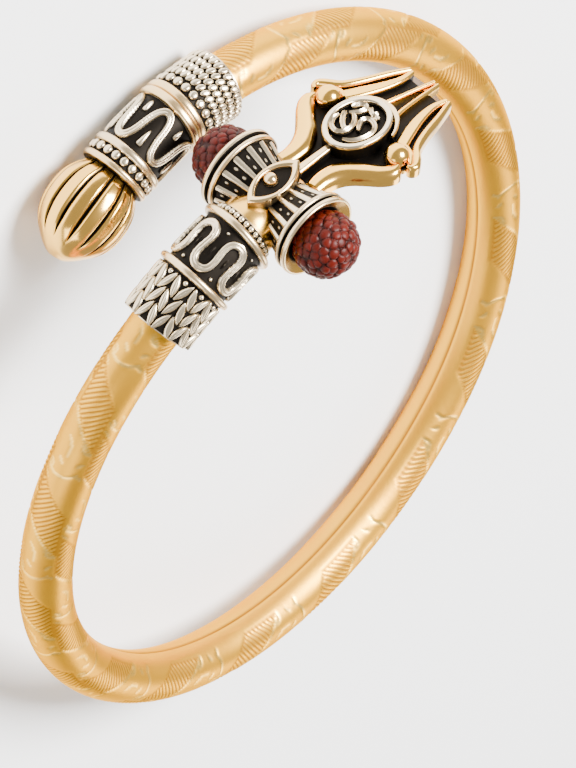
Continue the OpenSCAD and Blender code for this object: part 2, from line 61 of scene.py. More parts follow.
# %% Sizes of the bent tube, in millimetres and degrees
RING_R = 34.8
TUBE_R = 2.7
TRIDENT_ARM = {"start": 5.6, "tilt": 7.9, "bend": 34.4, "way": -1}
BUD_ARM = {"start": 100.0, "tilt": -7.7, "bend": 34.3, "way": 1}
REST_TURN = (-9.04, -1.77)
REST_SHIFT = (-0.24, 0.70, 8.28)
# A millimetre, in Blender's metres
MM = 0.001

print("the laid bangle is shifted by", REST_SHIFT, "mm")

# %% [markdown]
# A 4x4 matrix holds a turn and a shift in one, and a row of them multiplied together holds the whole
# way from a piece's own place to the table. The same few matrices place the solids in the part's
# source, so what is made here falls on them.

# %% Turns and shifts
def turned(axis, degrees):
    """A 4x4 matrix that turns about the axis X, Y or Z: cosines and sines in the other two rows."""
    a = math.radians(degrees)
    i, j = {"X": (1, 2), "Y": (2, 0), "Z": (0, 1)}[axis]
    m = np.eye(4)
    m[i, i] = m[j, j] = math.cos(a)
    m[j, i] = math.sin(a)
    m[i, j] = -math.sin(a)
    return m


def shifted(x, y, z):
    """A 4x4 matrix that moves by (x, y, z)."""
    m = np.eye(4)
    m[:3, 3] = (x, y, z)
    return m


LAID = shifted(*REST_SHIFT) @ turned("Y", REST_TURN[1]) @ turned("X", REST_TURN[0])


def arm_place(arm, length):
    """The place at a length along an arm: X points out of the bangle and Z along the arm."""
    to_arm = turned("Z", arm["start"]) @ shifted(RING_R, 0, 0) @ turned("Y", arm["tilt"])
    along = turned("Z", arm["way"] * math.degrees(length / arm["bend"]))
    upright = turned("X", -90 * arm["way"])
    return to_arm @ shifted(-arm["bend"], 0, 0) @ along @ shifted(arm["bend"], 0, 0) @ upright


def moved(points, matrix):
    """Points times a 4x4 matrix."""
    return points @ matrix[:3, :3].T + matrix[:3, 3]


def bent(length, turn, radius, bend):
    """The skin of a bar bent to an arc: a circle of this radius, carried round the bend."""
    phi = length / bend
    reach = bend + radius * np.cos(turn)
    return np.stack([reach * np.cos(phi) - bend, radius * np.sin(turn), reach * np.sin(phi)], axis=-1)


print("an arm of 30 mm ends at", np.round(moved(np.zeros(3), LAID @ arm_place(BUD_ARM, 30.0)), 1), "mm")

# %% [markdown]
# ## The camera
#
# The photograph was taken with a long lens, so its lines hardly converge. The camera looks at the
# flat part of the bangle from a low angle, with its top leaning to the left. The place of the
# bangle's middle in the picture and the number of pixels to a millimetre fix the rest.

# %% Camera
PICTURE = (576, 768)
MIDDLE_PIXEL = (272.1, 366.3)
PIXELS_PER_MM = 10.138
CAMERA_AWAY = 1812.0
CAMERA_HEIGHT = math.radians(27.67)
CAMERA_ROLL = math.radians(122.02)
SENSOR = 36.0
# How far the camera sees, in metres
FAR_CLIP = 10.0

up_slope = np.array([0, math.sin(CAMERA_HEIGHT), math.cos(CAMERA_HEIGHT)])
sideways = np.array([1.0, 0, 0])
cam_x = math.cos(CAMERA_ROLL) * sideways + math.sin(CAMERA_ROLL) * up_slope
cam_y = -math.sin(CAMERA_ROLL) * sideways + math.cos(CAMERA_ROLL) * up_slope
cam_z = np.array([0, -math.cos(CAMERA_HEIGHT), math.sin(CAMERA_HEIGHT)])
off_x = (PICTURE[0] / 2 - MIDDLE_PIXEL[0]) / PIXELS_PER_MM
off_y = (MIDDLE_PIXEL[1] - PICTURE[1] / 2) / PIXELS_PER_MM
eye = cam_x * off_x + cam_y * off_y + cam_z * CAMERA_AWAY
print("the camera's place, seen from the flat stretch:", np.round(eye), "mm")

# %% [markdown]
# Those directions belong to the flat stretch of the tube. The camera is laid down together with the
# bangle, so that it still sees the flat stretch as it did.

# %% The camera in the scene
cam_matrix = np.eye(4)
cam_matrix[:3, :3] = LAID[:3, :3] @ np.stack([cam_x, cam_y, cam_z], axis=1)
cam_matrix[:3, 3] = moved(eye, LAID) * MM
camera_data = bpy.data.cameras.new("camera")
camera_data.sensor_width = SENSOR
camera_data.lens = PIXELS_PER_MM * CAMERA_AWAY * SENSOR / PICTURE[1]
camera_data.clip_end = FAR_CLIP
camera = bpy.data.objects.new("camera", camera_data)
camera.matrix_world = Matrix(cam_matrix.tolist())
bpy.context.scene.collection.objects.link(camera)
bpy.context.scene.camera = camera
print("camera stands", round(float(cam_matrix[2, 3]), 3), "m above the table")

# %% [markdown]
# ## From arrays to a mesh
#
# A surface is a grid of points: ring after ring, with the same number of points in each. Quads join
# neighbours, and a fan closes each end, so every piece is watertight. Beside its place each point
# carries two numbers. The first is 1 on metal that the polishing wheel reaches and 0 in the
# blackened recesses; on the tube it is painted shade in the cuts and a painted highlight on the
# lands and strokes instead, and on the seeds it is lighter on the knobs than in the furrows. `warmth`
# is 1 where the plating is gold and 0 where it is silver.

# %% Grids and closed skins
def grid(start, end, rings, around):
    """The length and the turn at each point of an even grid."""
    u = np.linspace(start, end, rings)[:, None]
    turn = (np.arange(around) / around * 2 * math.pi)[None, :]
    return [np.array(g) for g in np.broadcast_arrays(u, turn)]


def skin(points, polish_and_painted_light=1.0, warmth=0.0, loop=False):
    """A closed skin through rings of points, shaped (rings, around, 3). The ends get a fan each,
    unless loop joins the last ring to the first. Rings run anticlockwise about the way they go."""
    rings, around = points.shape[:2]
    i = np.arange(rings if loop else rings - 1)[:, None]
    j = np.arange(around)[None, :]
    ahead, beside = (i + 1) % rings * around, (j + 1) % around
    quads = np.stack([i * around + j, i * around + beside, ahead + beside, ahead + j], axis=-1)
    masks = [np.broadcast_to(m, points.shape[:2]).ravel() for m in (polish_and_painted_light, warmth)]
    flat = points.reshape(-1, 3)
    tris = np.zeros((0, 3), int)
    if not loop:
        n, k = len(flat), np.arange(around)
        flat = np.vstack([flat, points[0].mean(0), points[-1].mean(0)])
        last, after = (rings - 1) * around, (k + 1) % around
        tris = np.vstack([np.stack([k * 0 + n, after, k], axis=-1),
                          np.stack([k * 0 + n + 1, last + k, last + after], axis=-1)])
        masks = [np.append(m, [m[0], m[-1]]) for m in masks]
    return {"points": flat, "quads": quads.reshape(-1, 4), "tris": tris,
            "polish_and_painted_light": masks[0], "warmth": masks[1]}


print("a skin of 3 rings with 4 points each has", len(skin(np.zeros((3, 4, 3)))["quads"]), "quads")

# %% [markdown]
# The trident is cast in one, but it is easier to think of as arms, prongs and a ring. Each is a skin
# of its own, and they are joined into one mesh. A left arm is the right one mirrored, and since a
# mirror turns a skin inside out, the order of its corners is turned round too.

# %% Joining and mirroring
def joined(parts):
    """One piece from several: the faces of each are moved on by the points before it."""
    starts = np.cumsum([0] + [len(p["points"]) for p in parts[:-1]])
    whole = {key: np.concatenate([p[key] for p in parts]) for key in ("points", "polish_and_painted_light", "warmth")}
    for key in ("quads", "tris"):
        whole[key] = np.concatenate([p[key] + s for p, s in zip(parts, starts)])
    return whole


def placed(part, matrix):
    """A piece moved by a matrix, with its faces turned over if the matrix mirrors it."""
    out = dict(part, points=moved(part["points"], matrix))
    if np.linalg.det(matrix[:3, :3]) < 0:
        out["quads"] = part["quads"][:, ::-1]
        out["tris"] = part["tris"][:, ::-1]
    return out


print("parts can be joined and mirrored")

# %% [markdown]
# `foreach_set` hands whole arrays to the mesh, which takes a moment where a loop over the faces
# would take minutes. Shading is smooth, but an edge sharper than a set angle stays crisp, as on the
# rims of the drum.

# %% A Blender object from arrays
SHARP_EDGE = math.radians(55)


def make_object(name, part, matrix):
    """A Blender object of a part in its place in the bangle, in metres, at the origin itself."""
    mesh = bpy.data.meshes.new(name)
    corners = np.concatenate([part["quads"].ravel(), part["tris"].ravel()]).astype(np.int32)
    sides = np.concatenate([np.full(len(part["quads"]), 4), np.full(len(part["tris"]), 3)])
    starts = np.concatenate([[0], np.cumsum(sides)[:-1]]).astype(np.int32)
    mesh.vertices.add(len(part["points"]))
    laid = moved(part["points"], LAID @ matrix) * MM
    mesh.vertices.foreach_set("co", laid.ravel().astype(np.float32))
    mesh.loops.add(len(corners))
    mesh.loops.foreach_set("vertex_index", corners)
    mesh.polygons.add(len(sides))
    mesh.polygons.foreach_set("loop_start", starts)
    mesh.update(calc_edges=True)
    mesh.polygons.foreach_set("use_smooth", np.ones(len(sides), bool))
    for key in ("polish_and_painted_light", "warmth"):
        values = mesh.attributes.new(key, "FLOAT", "POINT").data
        values.foreach_set("value", part[key].astype(np.float32))
    mesh.set_sharp_from_angle(angle=SHARP_EDGE)
    made = bpy.data.objects.new(name, mesh)
    bpy.context.scene.collection.objects.link(made)
    print(name, "has", len(sides), "faces")
    return made


print("edges sharper than", round(math.degrees(SHARP_EDGE)), "degrees stay sharp")

# %% [markdown]
# ## Relief
#
# The caster's ornament is a height added to a plain radius. A bead is a half ball, a wire is a wall
# with a round back, and where two overlap the higher one wins. All of it is worked out on the whole
# grid at once, with the angle folded back into one repeat of the pattern.

# %% Repeats and soft steps
def fold(x, period):
    """x brought back to the repeat around zero, from -period / 2 to period / 2."""
    return (x + period / 2) % period - period / 2


def ease(x, low, high):
    """0 below low, 1 above high, and a smooth step 3 t^2 - 2 t^3 between. low may be the greater."""
    t = np.clip((x - low) / (high - low), 0, 1)
    return t * t * (3 - 2 * t)


print("370 degrees, folded to one turn, is", fold(370.0, 360.0))

# %% [markdown]
# These are the bits of wax that the caster would set: balls, drops and lengths of wire. They could
# be separate meshes, but hundreds of them would cut into each other. As heights on one skin they
# stay one closed surface, and the finish can follow the height.

# %% Beads, drops and wires
def half_round(distance, half, height):
    """The height of a round back at a distance from its crest: a half ellipse."""
    return height * np.sqrt(np.clip(1 - (distance / half) ** 2, 0, 1))


def beaded(across, along, half_across, half_along, height, lean=0.0, flat=1.0):
    """A bead of height h sqrt(1 - r^2f), where r is 1 on its oval foot. A flat f of 1 is a half ball
    or egg, and a greater one has steeper sides and a flatter top. Its long side may lean."""
    c, s = math.cos(lean), math.sin(lean)
    x = (across * c + along * s) / half_across
    y = (along * c - across * s) / half_along
    return height * np.sqrt(np.clip(1 - (x * x + y * y) ** flat, 0, 1))


def drop(across, along, wide, point, half, height):
    """A teardrop: at a share t of the way from its point to its wide end it is half * sqrt(t) wide."""
    t = (along - point) / (wide - point)
    width = np.maximum(half * np.sqrt(np.clip(t, 0, 1)), 0.001)
    ends = np.clip(t, 0, 1) * np.clip(1 - t, 0, 1) * 4
    return height * np.clip(ends * (1 - (across / width) ** 2), 0, 1) ** 0.4


def wire_back(distance, half, height):
    """A laid wire: steep walls, a round back and a fine groove along the middle."""
    side = ease(np.abs(distance), half + 0.03, half - 0.07)
    back = 0.72 + 0.28 * np.sqrt(np.clip(1 - (distance / half) ** 2, 0, 1))
    groove = 0.22 * np.exp(-(distance / (0.16 * half)) ** 2)
    return height * side * (back - groove)


print("the groove of a wire 0.4 mm high lies at", round(float(wire_back(0.0, 0.4, 0.4)), 3), "mm")

# %% [markdown]
# A wire that winds to and fro has no short formula for its distance from a point. So its way is cut
# into fine steps, and each point of the grid takes the nearest of them.

# %% The distance to a winding wire
def distance_to(path, x, y):
    """The distance of each (x, y) to the nearest point of a finely stepped path."""
    dx = x.ravel()[:, None].astype(np.float32) - path[:, 0].astype(np.float32)
    dy = y.ravel()[:, None].astype(np.float32) - path[:, 1].astype(np.float32)
    return np.sqrt((dx * dx + dy * dy).min(axis=1)).reshape(x.shape)


print("from (3, 4) to the start:", distance_to(np.zeros((1, 2)), np.array([3.0]), np.array([4.0]))[0])

# %% [markdown]
# ## The finish of the metal
#
# Shader nodes can be dragged together by hand, but a formula is easier to read and to change. So a
# small class makes the maths of a shader look like the maths of numbers.

# %% Shader maths
class Socket:
    """An output of a shader node that adds, multiplies and so on like a number."""

    def __init__(self, tree, socket=None):
        self.tree, self.socket = tree, socket

    def node(self, kind, inputs=(), output=0, **settings):
        """Any node: inputs is a list of (name or number, value or socket) pairs."""
        made = self.tree.nodes.new(kind)
        for key, value in settings.items():
            setattr(made, key, value)
        for key, value in inputs:
            if isinstance(value, Socket):
                self.tree.links.new(value.socket, made.inputs[key])
            else:
                made.inputs[key].default_value = value
        return Socket(self.tree, made.outputs[output])

    def maths(self, operation, *values):
        return self.node("ShaderNodeMath", list(enumerate(values)), operation=operation)

    def __add__(self, other):
        return self.maths("ADD", self, other)

    def __sub__(self, other):
        return self.maths("SUBTRACT", self, other)

    def __rsub__(self, other):
        return self.maths("SUBTRACT", other, self)

    def __mul__(self, other):
        return self.maths("MULTIPLY", self, other)

    def __pow__(self, other):
        return self.maths("POWER", self, other)

    __radd__ = __add__
    __rmul__ = __mul__

    def mixed(self, low, high):
        """A colour between two colours, with this socket as the share of the second."""
        pair = [(0, self), (6, low if isinstance(low, Socket) else (*low, 1)),
                (7, high if isinstance(high, Socket) else (*high, 1))]
        return self.node("ShaderNodeMix", pair, output=2, data_type="RGBA")


print("sockets can be added, subtracted, multiplied, raised to a power and mixed")

# %% [markdown]
# Each material is one Principled shader. What is the same all over goes straight into its sockets,
# and what varies is plugged in. It varies with the two numbers on the mesh and with a soft noise.

# %% A material and what it reads
def new_material(name, **uniform):
    """A material, the socket helper on its tree, and a function that plugs sockets into its shader."""
    material = bpy.data.materials.new(name)
    material.use_nodes = True
    tree = material.node_tree
    shader = tree.nodes["Principled BSDF"]
    for key, value in uniform.items():
        shader.inputs[key.replace("_", " ")].default_value = value

    def plug(**sockets):
        for key, socket in sockets.items():
            tree.links.new(socket.socket, shader.inputs[key.replace("_", " ")])

    return material, Socket(tree), plug


def attribute(maker, name):
    """A number that the mesh carries on its points."""
    return maker.node("ShaderNodeAttribute", output=2, attribute_name=name)


def cloud(maker, scale, detail=3.0):
    """Soft noise on the object's own coordinates, around 0.5."""
    place = maker.node("ShaderNodeTexCoord", output=3)
    return maker.node("ShaderNodeTexNoise", [("Vector", place), ("Scale", scale), ("Detail", detail)])


def bumped(maker, height, distance, strength=0.5):
    """A surface direction tipped by a height, for wear too fine to model."""
    return maker.node("ShaderNodeBump", [("Height", height), ("Distance", distance),
                                         ("Strength", strength)])


print("helpers for materials are ready")

# %% [markdown]
# ### Plated metal
#
# The real collars were dipped in a black bath and then rubbed bright, so black stays where the wheel
# can't reach. The height of the relief already tells where that is, so nothing is painted: `polish_and_painted_light`
# takes the metal from a dull black to a bright crest, and `warmth` takes it from silver to gold.

# %% Blackened silver and polished gold
BLACK = (0.012, 0.010, 0.008)
SILVER = (0.72, 0.62, 0.45)
GOLD = (0.92, 0.52, 0.10)


def plated(name, dull, bright):
    """Polished crests over blackened recesses, between silver and gold."""
    material, maker, plug = new_material(name, Metallic=1.0)
    wear = cloud(maker, 900.0)
    polish_and_painted_light = maker.node("ShaderNodeMapRange", [(0, attribute(maker, "polish_and_painted_light") + 0.25 * (wear - 0.5)),
                                               (1, 0.12), (2, 0.62)])
    metal = attribute(maker, "warmth").mixed(SILVER, GOLD)
    plug(Base_Color=polish_and_painted_light.mixed(BLACK, metal), Roughness=polish_and_painted_light * (bright - dull) + dull,
         Normal=bumped(maker, wear, 0.00002))
    return material


silver_material = plated("blackened_silver", dull=0.55, bright=0.27)
gold_material = plated("polished_gold", dull=0.5, bright=0.17)
print("made", silver_material.name, "and", gold_material.name)

# %% [markdown]
# ### The gold of the tube
#
# The tube is satin. Its colour runs from painted shade at the bottoms of the hatch and border
# grooves, which is also the colour of the dark seam joint, through the satin skin to a painted
# highlight on the lands between the grooves and on the graver's strokes. Its edges would mirror the
# pale room and turn white, so their tint leans to orange. A soft blotch gives the plating its worn,
# uneven tone.

# %% Chased gold
# Painted shade in the grooves, also the dark seam joint; the satin skin; a painted highlight on lands
# and strokes; a real worn tone
GROOVE_SHADE_AND_SEAM = (0.22, 0.08, 0.005)
SATIN = (0.74, 0.38, 0.02)
PAINTED_HIGHLIGHT_GOLD = (1.0, 0.66, 0.14)
WORN = (0.70, 0.27, 0.01)
EDGE_TINT = (1.0, 0.7, 0.3, 1)

band_material, maker, plug = new_material("chased_gold", Metallic=1.0, Specular_Tint=EDGE_TINT)
polish_and_painted_light = attribute(maker, "polish_and_painted_light")
blotch = cloud(maker, 260.0, 4.0)
# From painted shade in the grooves through the satin skin to a painted highlight on lands and strokes
satin_shade_and_seam = (2.0 * polish_and_painted_light).mixed(GROOVE_SHADE_AND_SEAM, SATIN)
cut = (2.0 * polish_and_painted_light - 1.0).mixed(satin_shade_and_seam, PAINTED_HIGHLIGHT_GOLD)
plug(Base_Color=(blotch ** 2 * 0.6).mixed(cut, WORN), Roughness=0.6 - 0.3 * polish_and_painted_light,
     Normal=bumped(maker, cloud(maker, 2200.0), 0.00002, 0.6))
print("made", band_material.name)

# %% [markdown]
# ### The skin of the seeds
#
# A rudraksha is the stone of a fruit, and years of oil have turned it dark. It hardly mirrors, is
# nearly black in its furrows, and has a fine grain.

# %% Oiled seed
FURROW_BROWN = (0.008, 0.0008, 0.0004)
KNOB_BROWN = (0.08, 0.004, 0.0006)
GRAIN_BROWN = (0.04, 0.003, 0.001)

seed_material, maker, plug = new_material("oiled_seed", Roughness=0.45, Specular_IOR_Level=0.15)
knob = attribute(maker, "polish_and_painted_light")
grain = cloud(maker, 1800.0)
brown = knob.mixed(FURROW_BROWN, KNOB_BROWN)
plug(Base_Color=(0.35 * grain).mixed(brown, GRAIN_BROWN), Normal=bumped(maker, grain, 0.00008))
print("made", len(bpy.data.materials), "materials")

# %% [markdown]
# ## The chased tube
#
# The real tube is drawn, bent, and chased by hand. A curve with a round bevel would give the tube,
# but not its engraving, so each point of a fine grid is worked out instead. It has a place along the
# tube, `t`, counted from the start of the flat stretch, and a turn round it.

# %% The bent tube
FLAT_LENGTH = math.radians(BUD_ARM["start"] - TRIDENT_ARM["start"]) * RING_R
TRIDENT_LENGTH = 59.9
BUD_LENGTH = 84.3


def tube_skin(t, turn, radius):
    """The bent tube. A stretch is an arc: its middle line is M (b cos, b sin, 0), and the skin stands
    off it along the outward direction and the downward one. Tilts are taken out of the turn, so the
    lines along the tube run straight across the joints."""
    points = np.zeros(t.shape + (3,))
    flat = {"start": TRIDENT_ARM["start"], "tilt": 0.0, "bend": RING_R}
    for arm, here, zero in ((TRIDENT_ARM, t < 0, 0.0), (flat, (t >= 0) & (t <= FLAT_LENGTH), 0.0),
                            (BUD_ARM, t > FLAT_LENGTH, FLAT_LENGTH)):
        place = turned("Z", arm["start"]) @ shifted(RING_R, 0, 0) @ turned("Y", arm["tilt"])
        place = place @ shifted(-arm["bend"], 0, 0)
        phi = (t[here] - zero) / arm["bend"]
        a = turn[here] - math.radians(arm["tilt"])
        reach = arm["bend"] + radius[here] * np.cos(a)
        local = np.stack([reach * np.cos(phi), reach * np.sin(phi), -radius[here] * np.sin(a)], axis=-1)
        points[here] = moved(local, place)
    return points


print("the tube is", round(TRIDENT_LENGTH + FLAT_LENGTH + BUD_LENGTH, 1), "mm long")

# %% [markdown]
# A graver pushed round a curve leaves a cut that is widest in its middle, and the cut's colour
# carries a painted highlight. Eight of these cuts, each an arc of a circle, make the small figure that
# stands between the hatched fields.

# %% The strokes of the graver
CUT_HALF = 0.13


def stroke(x, y, middle, radius, middle_angle, spread):
    """The share of a graver's cut at each point: an arc of a circle that tapers to its ends."""
    dx, dy = x - middle[0], y - middle[1]
    away = np.abs(fold(np.degrees(np.arctan2(dy, dx)) - middle_angle, 360.0)) / spread
    width = CUT_HALF * np.sqrt(np.clip(1 - away ** 2, 0.001, 1))
    return ease(np.abs(np.hypot(dx, dy) - radius), width + 0.09, width - 0.04) * (away < 1)


# Rows of the circle's middle, its radius, the angle of the cut's middle and half of its sweep
STROKES = [((-0.83, 0.28), 2.38, 0, 53), ((0.44, -2.09), 1.0, 135, 24), ((-0.7, -0.07), 1.0, 45, 28),
           ((-1.05, 2.1), 2.0, -111, 34), ((3.0, 2.4), 1.2, 200, 40), ((-2.4, -1.6), 0.7, 30, 90),
           ((1.9, -1.5), 0.9, -150, 60), ((0.9, 1.9), 0.5, 250, 80)]
print(len(STROKES), "strokes between two fields")

# %% [markdown]
# The pattern repeats along the tube in four rows, each staggered by half a repeat against the next.
# Its fields are leaning lozenges, hatched with parallel cuts. The row on the inside has none, and
# there the seam of the rolled tube shows as a fine dark line.

# %% The chaser's pattern
REPEAT = 12.6
ROWS = 4
# How far the rows are moved round the tube and along it, and how much further the last fields lie
ROWS_SHIFT = 0.4
FIRST_FIELD = 46.3
LAST_SHIFT = 4.8
FIELD_HALF = (2.35, 1.95)
FIELD_LEAN = 0.95
HATCH_GAP = 0.58
HATCH_LEAN = 0.8
# Depths of the cuts, in mm
HATCH_DEPTH, BORDER_DEPTH, STROKE_DEPTH, SEAM_DEPTH = 0.1, 0.07, 0.06, 0.12


def chased(t, turn):
    """Depth of the cuts, and the skin's painted shade and highlight: painted shade in the hatch and
    border grooves, a painted highlight on the lands, on the graver's strokes and along one edge of each
    field, and the dark seam joint. Each row has its own (x, y) around its fields. A field is where
    |x + lean y| and |y| are within its halves, and the hatch is a cosine across it."""
    arc = turn * TUBE_R + ROWS_SHIFT
    gauge = 2 * math.pi * TUBE_R / ROWS
    row = np.round(arc / gauge)
    y = arc - gauge * row
    along = t - LAST_SHIFT * ease(t, FLAT_LENGTH - 25, FLAT_LENGTH + BUD_LENGTH - 8)
    x = fold(along + FIRST_FIELD - REPEAT / 2 * (row % 2), REPEAT)
    lean = x + FIELD_LEAN * y - 0.1
    outline = np.maximum(np.abs(lean) - FIELD_HALF[0], 1.4 * (np.abs(y) - FIELD_HALF[1]))
    fields = np.abs(row) < ROWS / 2
    inside = ease(outline, 0.02, -0.14) * fields
    hatch = 0.5 + 0.5 * np.cos(2 * math.pi * (x - HATCH_LEAN * y) / HATCH_GAP)
    cuts = inside * hatch ** 1.3
    border = ease(np.abs(outline - 0.06), 0.17, 0.05) * fields
    # A cut along one edge of each field, which also gets a painted highlight
    edge_cut_highlight = ease(np.abs(outline - 0.3), 0.2, 0.08) * (lean > 0) * (np.abs(y) < 2.0)
    between = fold(x - REPEAT / 2, REPEAT)
    bright = np.max([stroke(between, y, *s) for s in STROKES], axis=0) * (outline > 0.3)
    bright = np.maximum(bright, edge_cut_highlight) * fields
    seam = ease(math.pi - np.abs(turn), 0.06, 0.02)
    depth = HATCH_DEPTH * cuts + BORDER_DEPTH * border + STROKE_DEPTH * bright + SEAM_DEPTH * seam
    # Painted shade in the grooves, a painted highlight on the lands, strokes and edge, and the dark
    # seam
    painted_light_and_seam = 0.5 + inside * (0.22 - 0.72 * cuts) - 0.3 * border + 0.45 * bright - 0.8 * seam
    return depth, np.clip(painted_light_and_seam, 0, 1)


print("a field comes every", REPEAT, "mm, with cuts", HATCH_GAP, "mm apart")

# %% [markdown]
# The cuts stop at the collars, since the ends of the tube sit in their sockets and were never
# chased. The skin lies a hair under the measured tube.

# %% The band
SKIN_UNDER = 0.02
PLAIN_END = 4.4

t, turn = grid(-TRIDENT_LENGTH, FLAT_LENGTH + BUD_LENGTH, 1380, 72)
depth, painted_light_and_seam = chased(t, fold(turn, 2 * math.pi))
first_end = -TRIDENT_LENGTH + PLAIN_END
last_end = FLAT_LENGTH + BUD_LENGTH - PLAIN_END
bare = ease(t, first_end, first_end + 1.0) * ease(t, last_end, last_end - 1.0)
points = tube_skin(t, turn, TUBE_R - SKIN_UNDER - depth * bare)
# The tube's colour number: painted shade in the cuts, a painted highlight on the lands and strokes,
# satin on the plain ends
band_skin = skin(points, polish_and_painted_light=0.5 + (painted_light_and_seam - 0.5) * bare, warmth=1.0)
band = make_object("band_chased", band_skin, np.eye(4))

# %% [markdown]
# ## The two collars
#
# Each collar is a casting that slips over the end of the tube. It is one skin round its arm, whose
# plain radius steps from stretch to stretch and is raised by rings, beads and a wire that winds
# round a black panel. The skin starts at the bottom of the socket that holds the tube, turns over
# the collar's mouth, and runs on to the other end. The repeat of the ornament divides the whole
# turn, so each grid point looks only at one repeat.

# %% Rings, wires and the skin of a collar
SOCKET_DEPTH = 4.5
SOCKET_R = 2.76
SOCKET_RINGS = 6
MOUTH_POLISH = 0.6


def ring_round(radius, u, at, path, wire, flat=1.0):
    """The greater of a radius and a ring of wire whose middle runs at this path radius."""
    back = path + beaded(0.0, u - at, wire, wire, wire, flat=flat)
    return np.where(np.abs(u - at) < wire, np.maximum(radius, back), radius)


def collar_skin(u, turn, radius, polish_and_painted_light, warmth, bend):
    """The closed skin of a collar with its socket, from grids of the length, turn and radius."""
    inner_u = np.linspace(SOCKET_DEPTH, 0.02, SOCKET_RINGS)[:, None] + 0 * turn[:SOCKET_RINGS]
    polish_and_painted_light = np.maximum(polish_and_painted_light, MOUTH_POLISH * (u < 0.12))
    u = np.vstack([inner_u, u])
    turn = np.vstack([turn[:SOCKET_RINGS], turn])
    radius = np.vstack([np.full(inner_u.shape, SOCKET_R), radius])
    mouth = np.zeros(inner_u.shape)
    mouth[-1] = MOUTH_POLISH
    polish_and_painted_light = np.vstack([mouth, polish_and_painted_light])
    return skin(bent(u, turn, radius, bend), polish_and_painted_light, np.vstack([0 * mouth, warmth]))


def winding(u, turn, wire):
    """The height of a wire that winds round the collar, and how far each point lies beside its low and
    its high crests. Its way is a sine along the collar, and a second one, of twice the pace, round
    it, which leans the crests. All of it is in mm on the collar's skin."""
    sway = np.linspace(-wire["span"], wire["span"], wire["steps"])
    path_u = wire["middle"] + wire["reach"] * np.sin(2 * math.pi * sway)
    path_turn = (sway - wire["swing"] * np.sin(4 * math.pi * sway)) * 2 * math.pi / wire["repeats"]
    turn = turn - wire["start"]
    x = fold(turn, 2 * math.pi / wire["repeats"]) * wire["gauge"]
    away = distance_to(np.stack([path_u, path_turn * wire["gauge"]], axis=-1), u, x)
    quarter = math.pi / 2 / wire["repeats"]
    sides = [fold(turn + way * quarter, 4 * quarter) * wire["gauge"] for way in (1, -1)]
    return wire_back(away, wire["half"], 0.46), *sides


print("a collar's socket is", SOCKET_DEPTH, "mm deep")

# %% [markdown]
# ### The beaded collar
#
# Four rows of slanting ovals and a row of grains come first, and one more row of grains comes near
# the bud. Lengths are counted from the collar's mouth.

# %% Beads and grains
# Where the collar's mouth lies along the arm
BEAD_FROM = 79.9
BEADED_LENGTH = 14.7
SLEEVE_R = 3.56
WAVE_PANEL = {"from": 6.4, "to": 12.4, "r": 3.36}
NECK_R = 3.45
BEADS = 32
BEAD_HALF = (0.35, 0.55)
BEAD_LEAN = -0.57
GRAINS = 21
BEAD_GAUGE = 3.8

u, turn = grid(0.0, BEADED_LENGTH, 250, 384)
behind = np.where(u < WAVE_PANEL["to"], WAVE_PANEL["r"], NECK_R)
base = np.where(u < WAVE_PANEL["from"], SLEEVE_R, behind)
relief = np.zeros_like(u)
for row in range(4):
    x = fold(turn - math.radians(1.2), 2 * math.pi / BEADS) * BEAD_GAUGE
    relief = np.maximum(relief, beaded(x, u - 0.62 - 0.93 * row, *BEAD_HALF, 0.35, BEAD_LEAN, 2.0))
x = fold(turn + math.radians(0.8), 2 * math.pi / GRAINS) * BEAD_GAUGE
for at, half in ((4.45, 0.5), (13.42, 0.49)):
    relief = np.maximum(relief, beaded(x, u - at, half, half - 0.02, 0.42, flat=1.7))
print("four rows of", BEADS, "beads and two of", GRAINS, "grains")

# %% [markdown]
# On the black panel a wire swings to and fro five times, with a drop in each opening.

# %% The wave wire and its drops
WAVE = {"repeats": 5, "start": math.radians(-14.5), "middle": 9.45, "reach": 2.13, "swing": 0.045,
        "gauge": 3.7, "half": 0.37, "span": 0.75, "steps": 260}

wave, low_side, high_side = winding(u, turn, WAVE)
relief = np.max([relief, wave, drop(low_side, u, 11.5, 9.6, 0.42, 0.36),
                 drop(high_side, u, 8.6, 7.25, 0.36, 0.34)], axis=0)
print("the wave wire swings over", 2 * WAVE["reach"], "mm")

# %% [markdown]
# A double ring stands before the panel, a ring behind it, and a thin ring at the end. The rings and
# the last stretch have caught some of the gold, so their `warmth` is higher.

# %% The beaded collar
DOUBLE_RING = (5.55, 6.43)
NECK_RING = 12.5
# Rows of place, path radius, wire radius and flatness
BEADED_RINGS = [*((at, 3.6, 0.43, 1.6) for at in DOUBLE_RING), (NECK_RING, 3.5, 0.43, 1.2),
                (14.33, 3.5, 0.34, 1.0)]

radius = base + relief
for at, path, wire, flat in BEADED_RINGS:
    radius = ring_round(radius, u, at, path, wire, flat)
height = radius - base
polish_and_painted_light = ease(height, 0.1, 0.33)
double_ring = np.max([ease(np.abs(u - at), 0.46, 0.4) for at in DOUBLE_RING], axis=0)
warmth = 0.1 + 0.42 * double_ring + 0.2 * ease(np.abs(u - NECK_RING), 0.46, 0.4) + 0.4 * (u > 13.95)
beaded_skin = collar_skin(u, turn, radius, polish_and_painted_light, warmth, BUD_ARM["bend"])
bead_collar = make_object("beaded_collar", beaded_skin, arm_place(BUD_ARM, BEAD_FROM))

# %% [markdown]
# ### The leaf collar
#
# Three rows of pointed leaves lean to one side and the other in turn, like a braid. A small grain
# fills the notch behind every second leaf of the last row. Behind the panel, the collar narrows to a
# smooth dome that runs into the drum.

# %% Leaves
# Where the collar's mouth lies along the arm
LEAF_FROM = 55.5
LEAF_COLLAR_LENGTH = 15.4
DOME_FROM = 13.05
DOME_R = 3.2
LOOP_PANEL = {"from": 5.6, "to": 11.7, "r": 3.5}
LEAVES = 22
LEAF_START = math.radians(11.8)
LEAF_GAUGE = 3.9
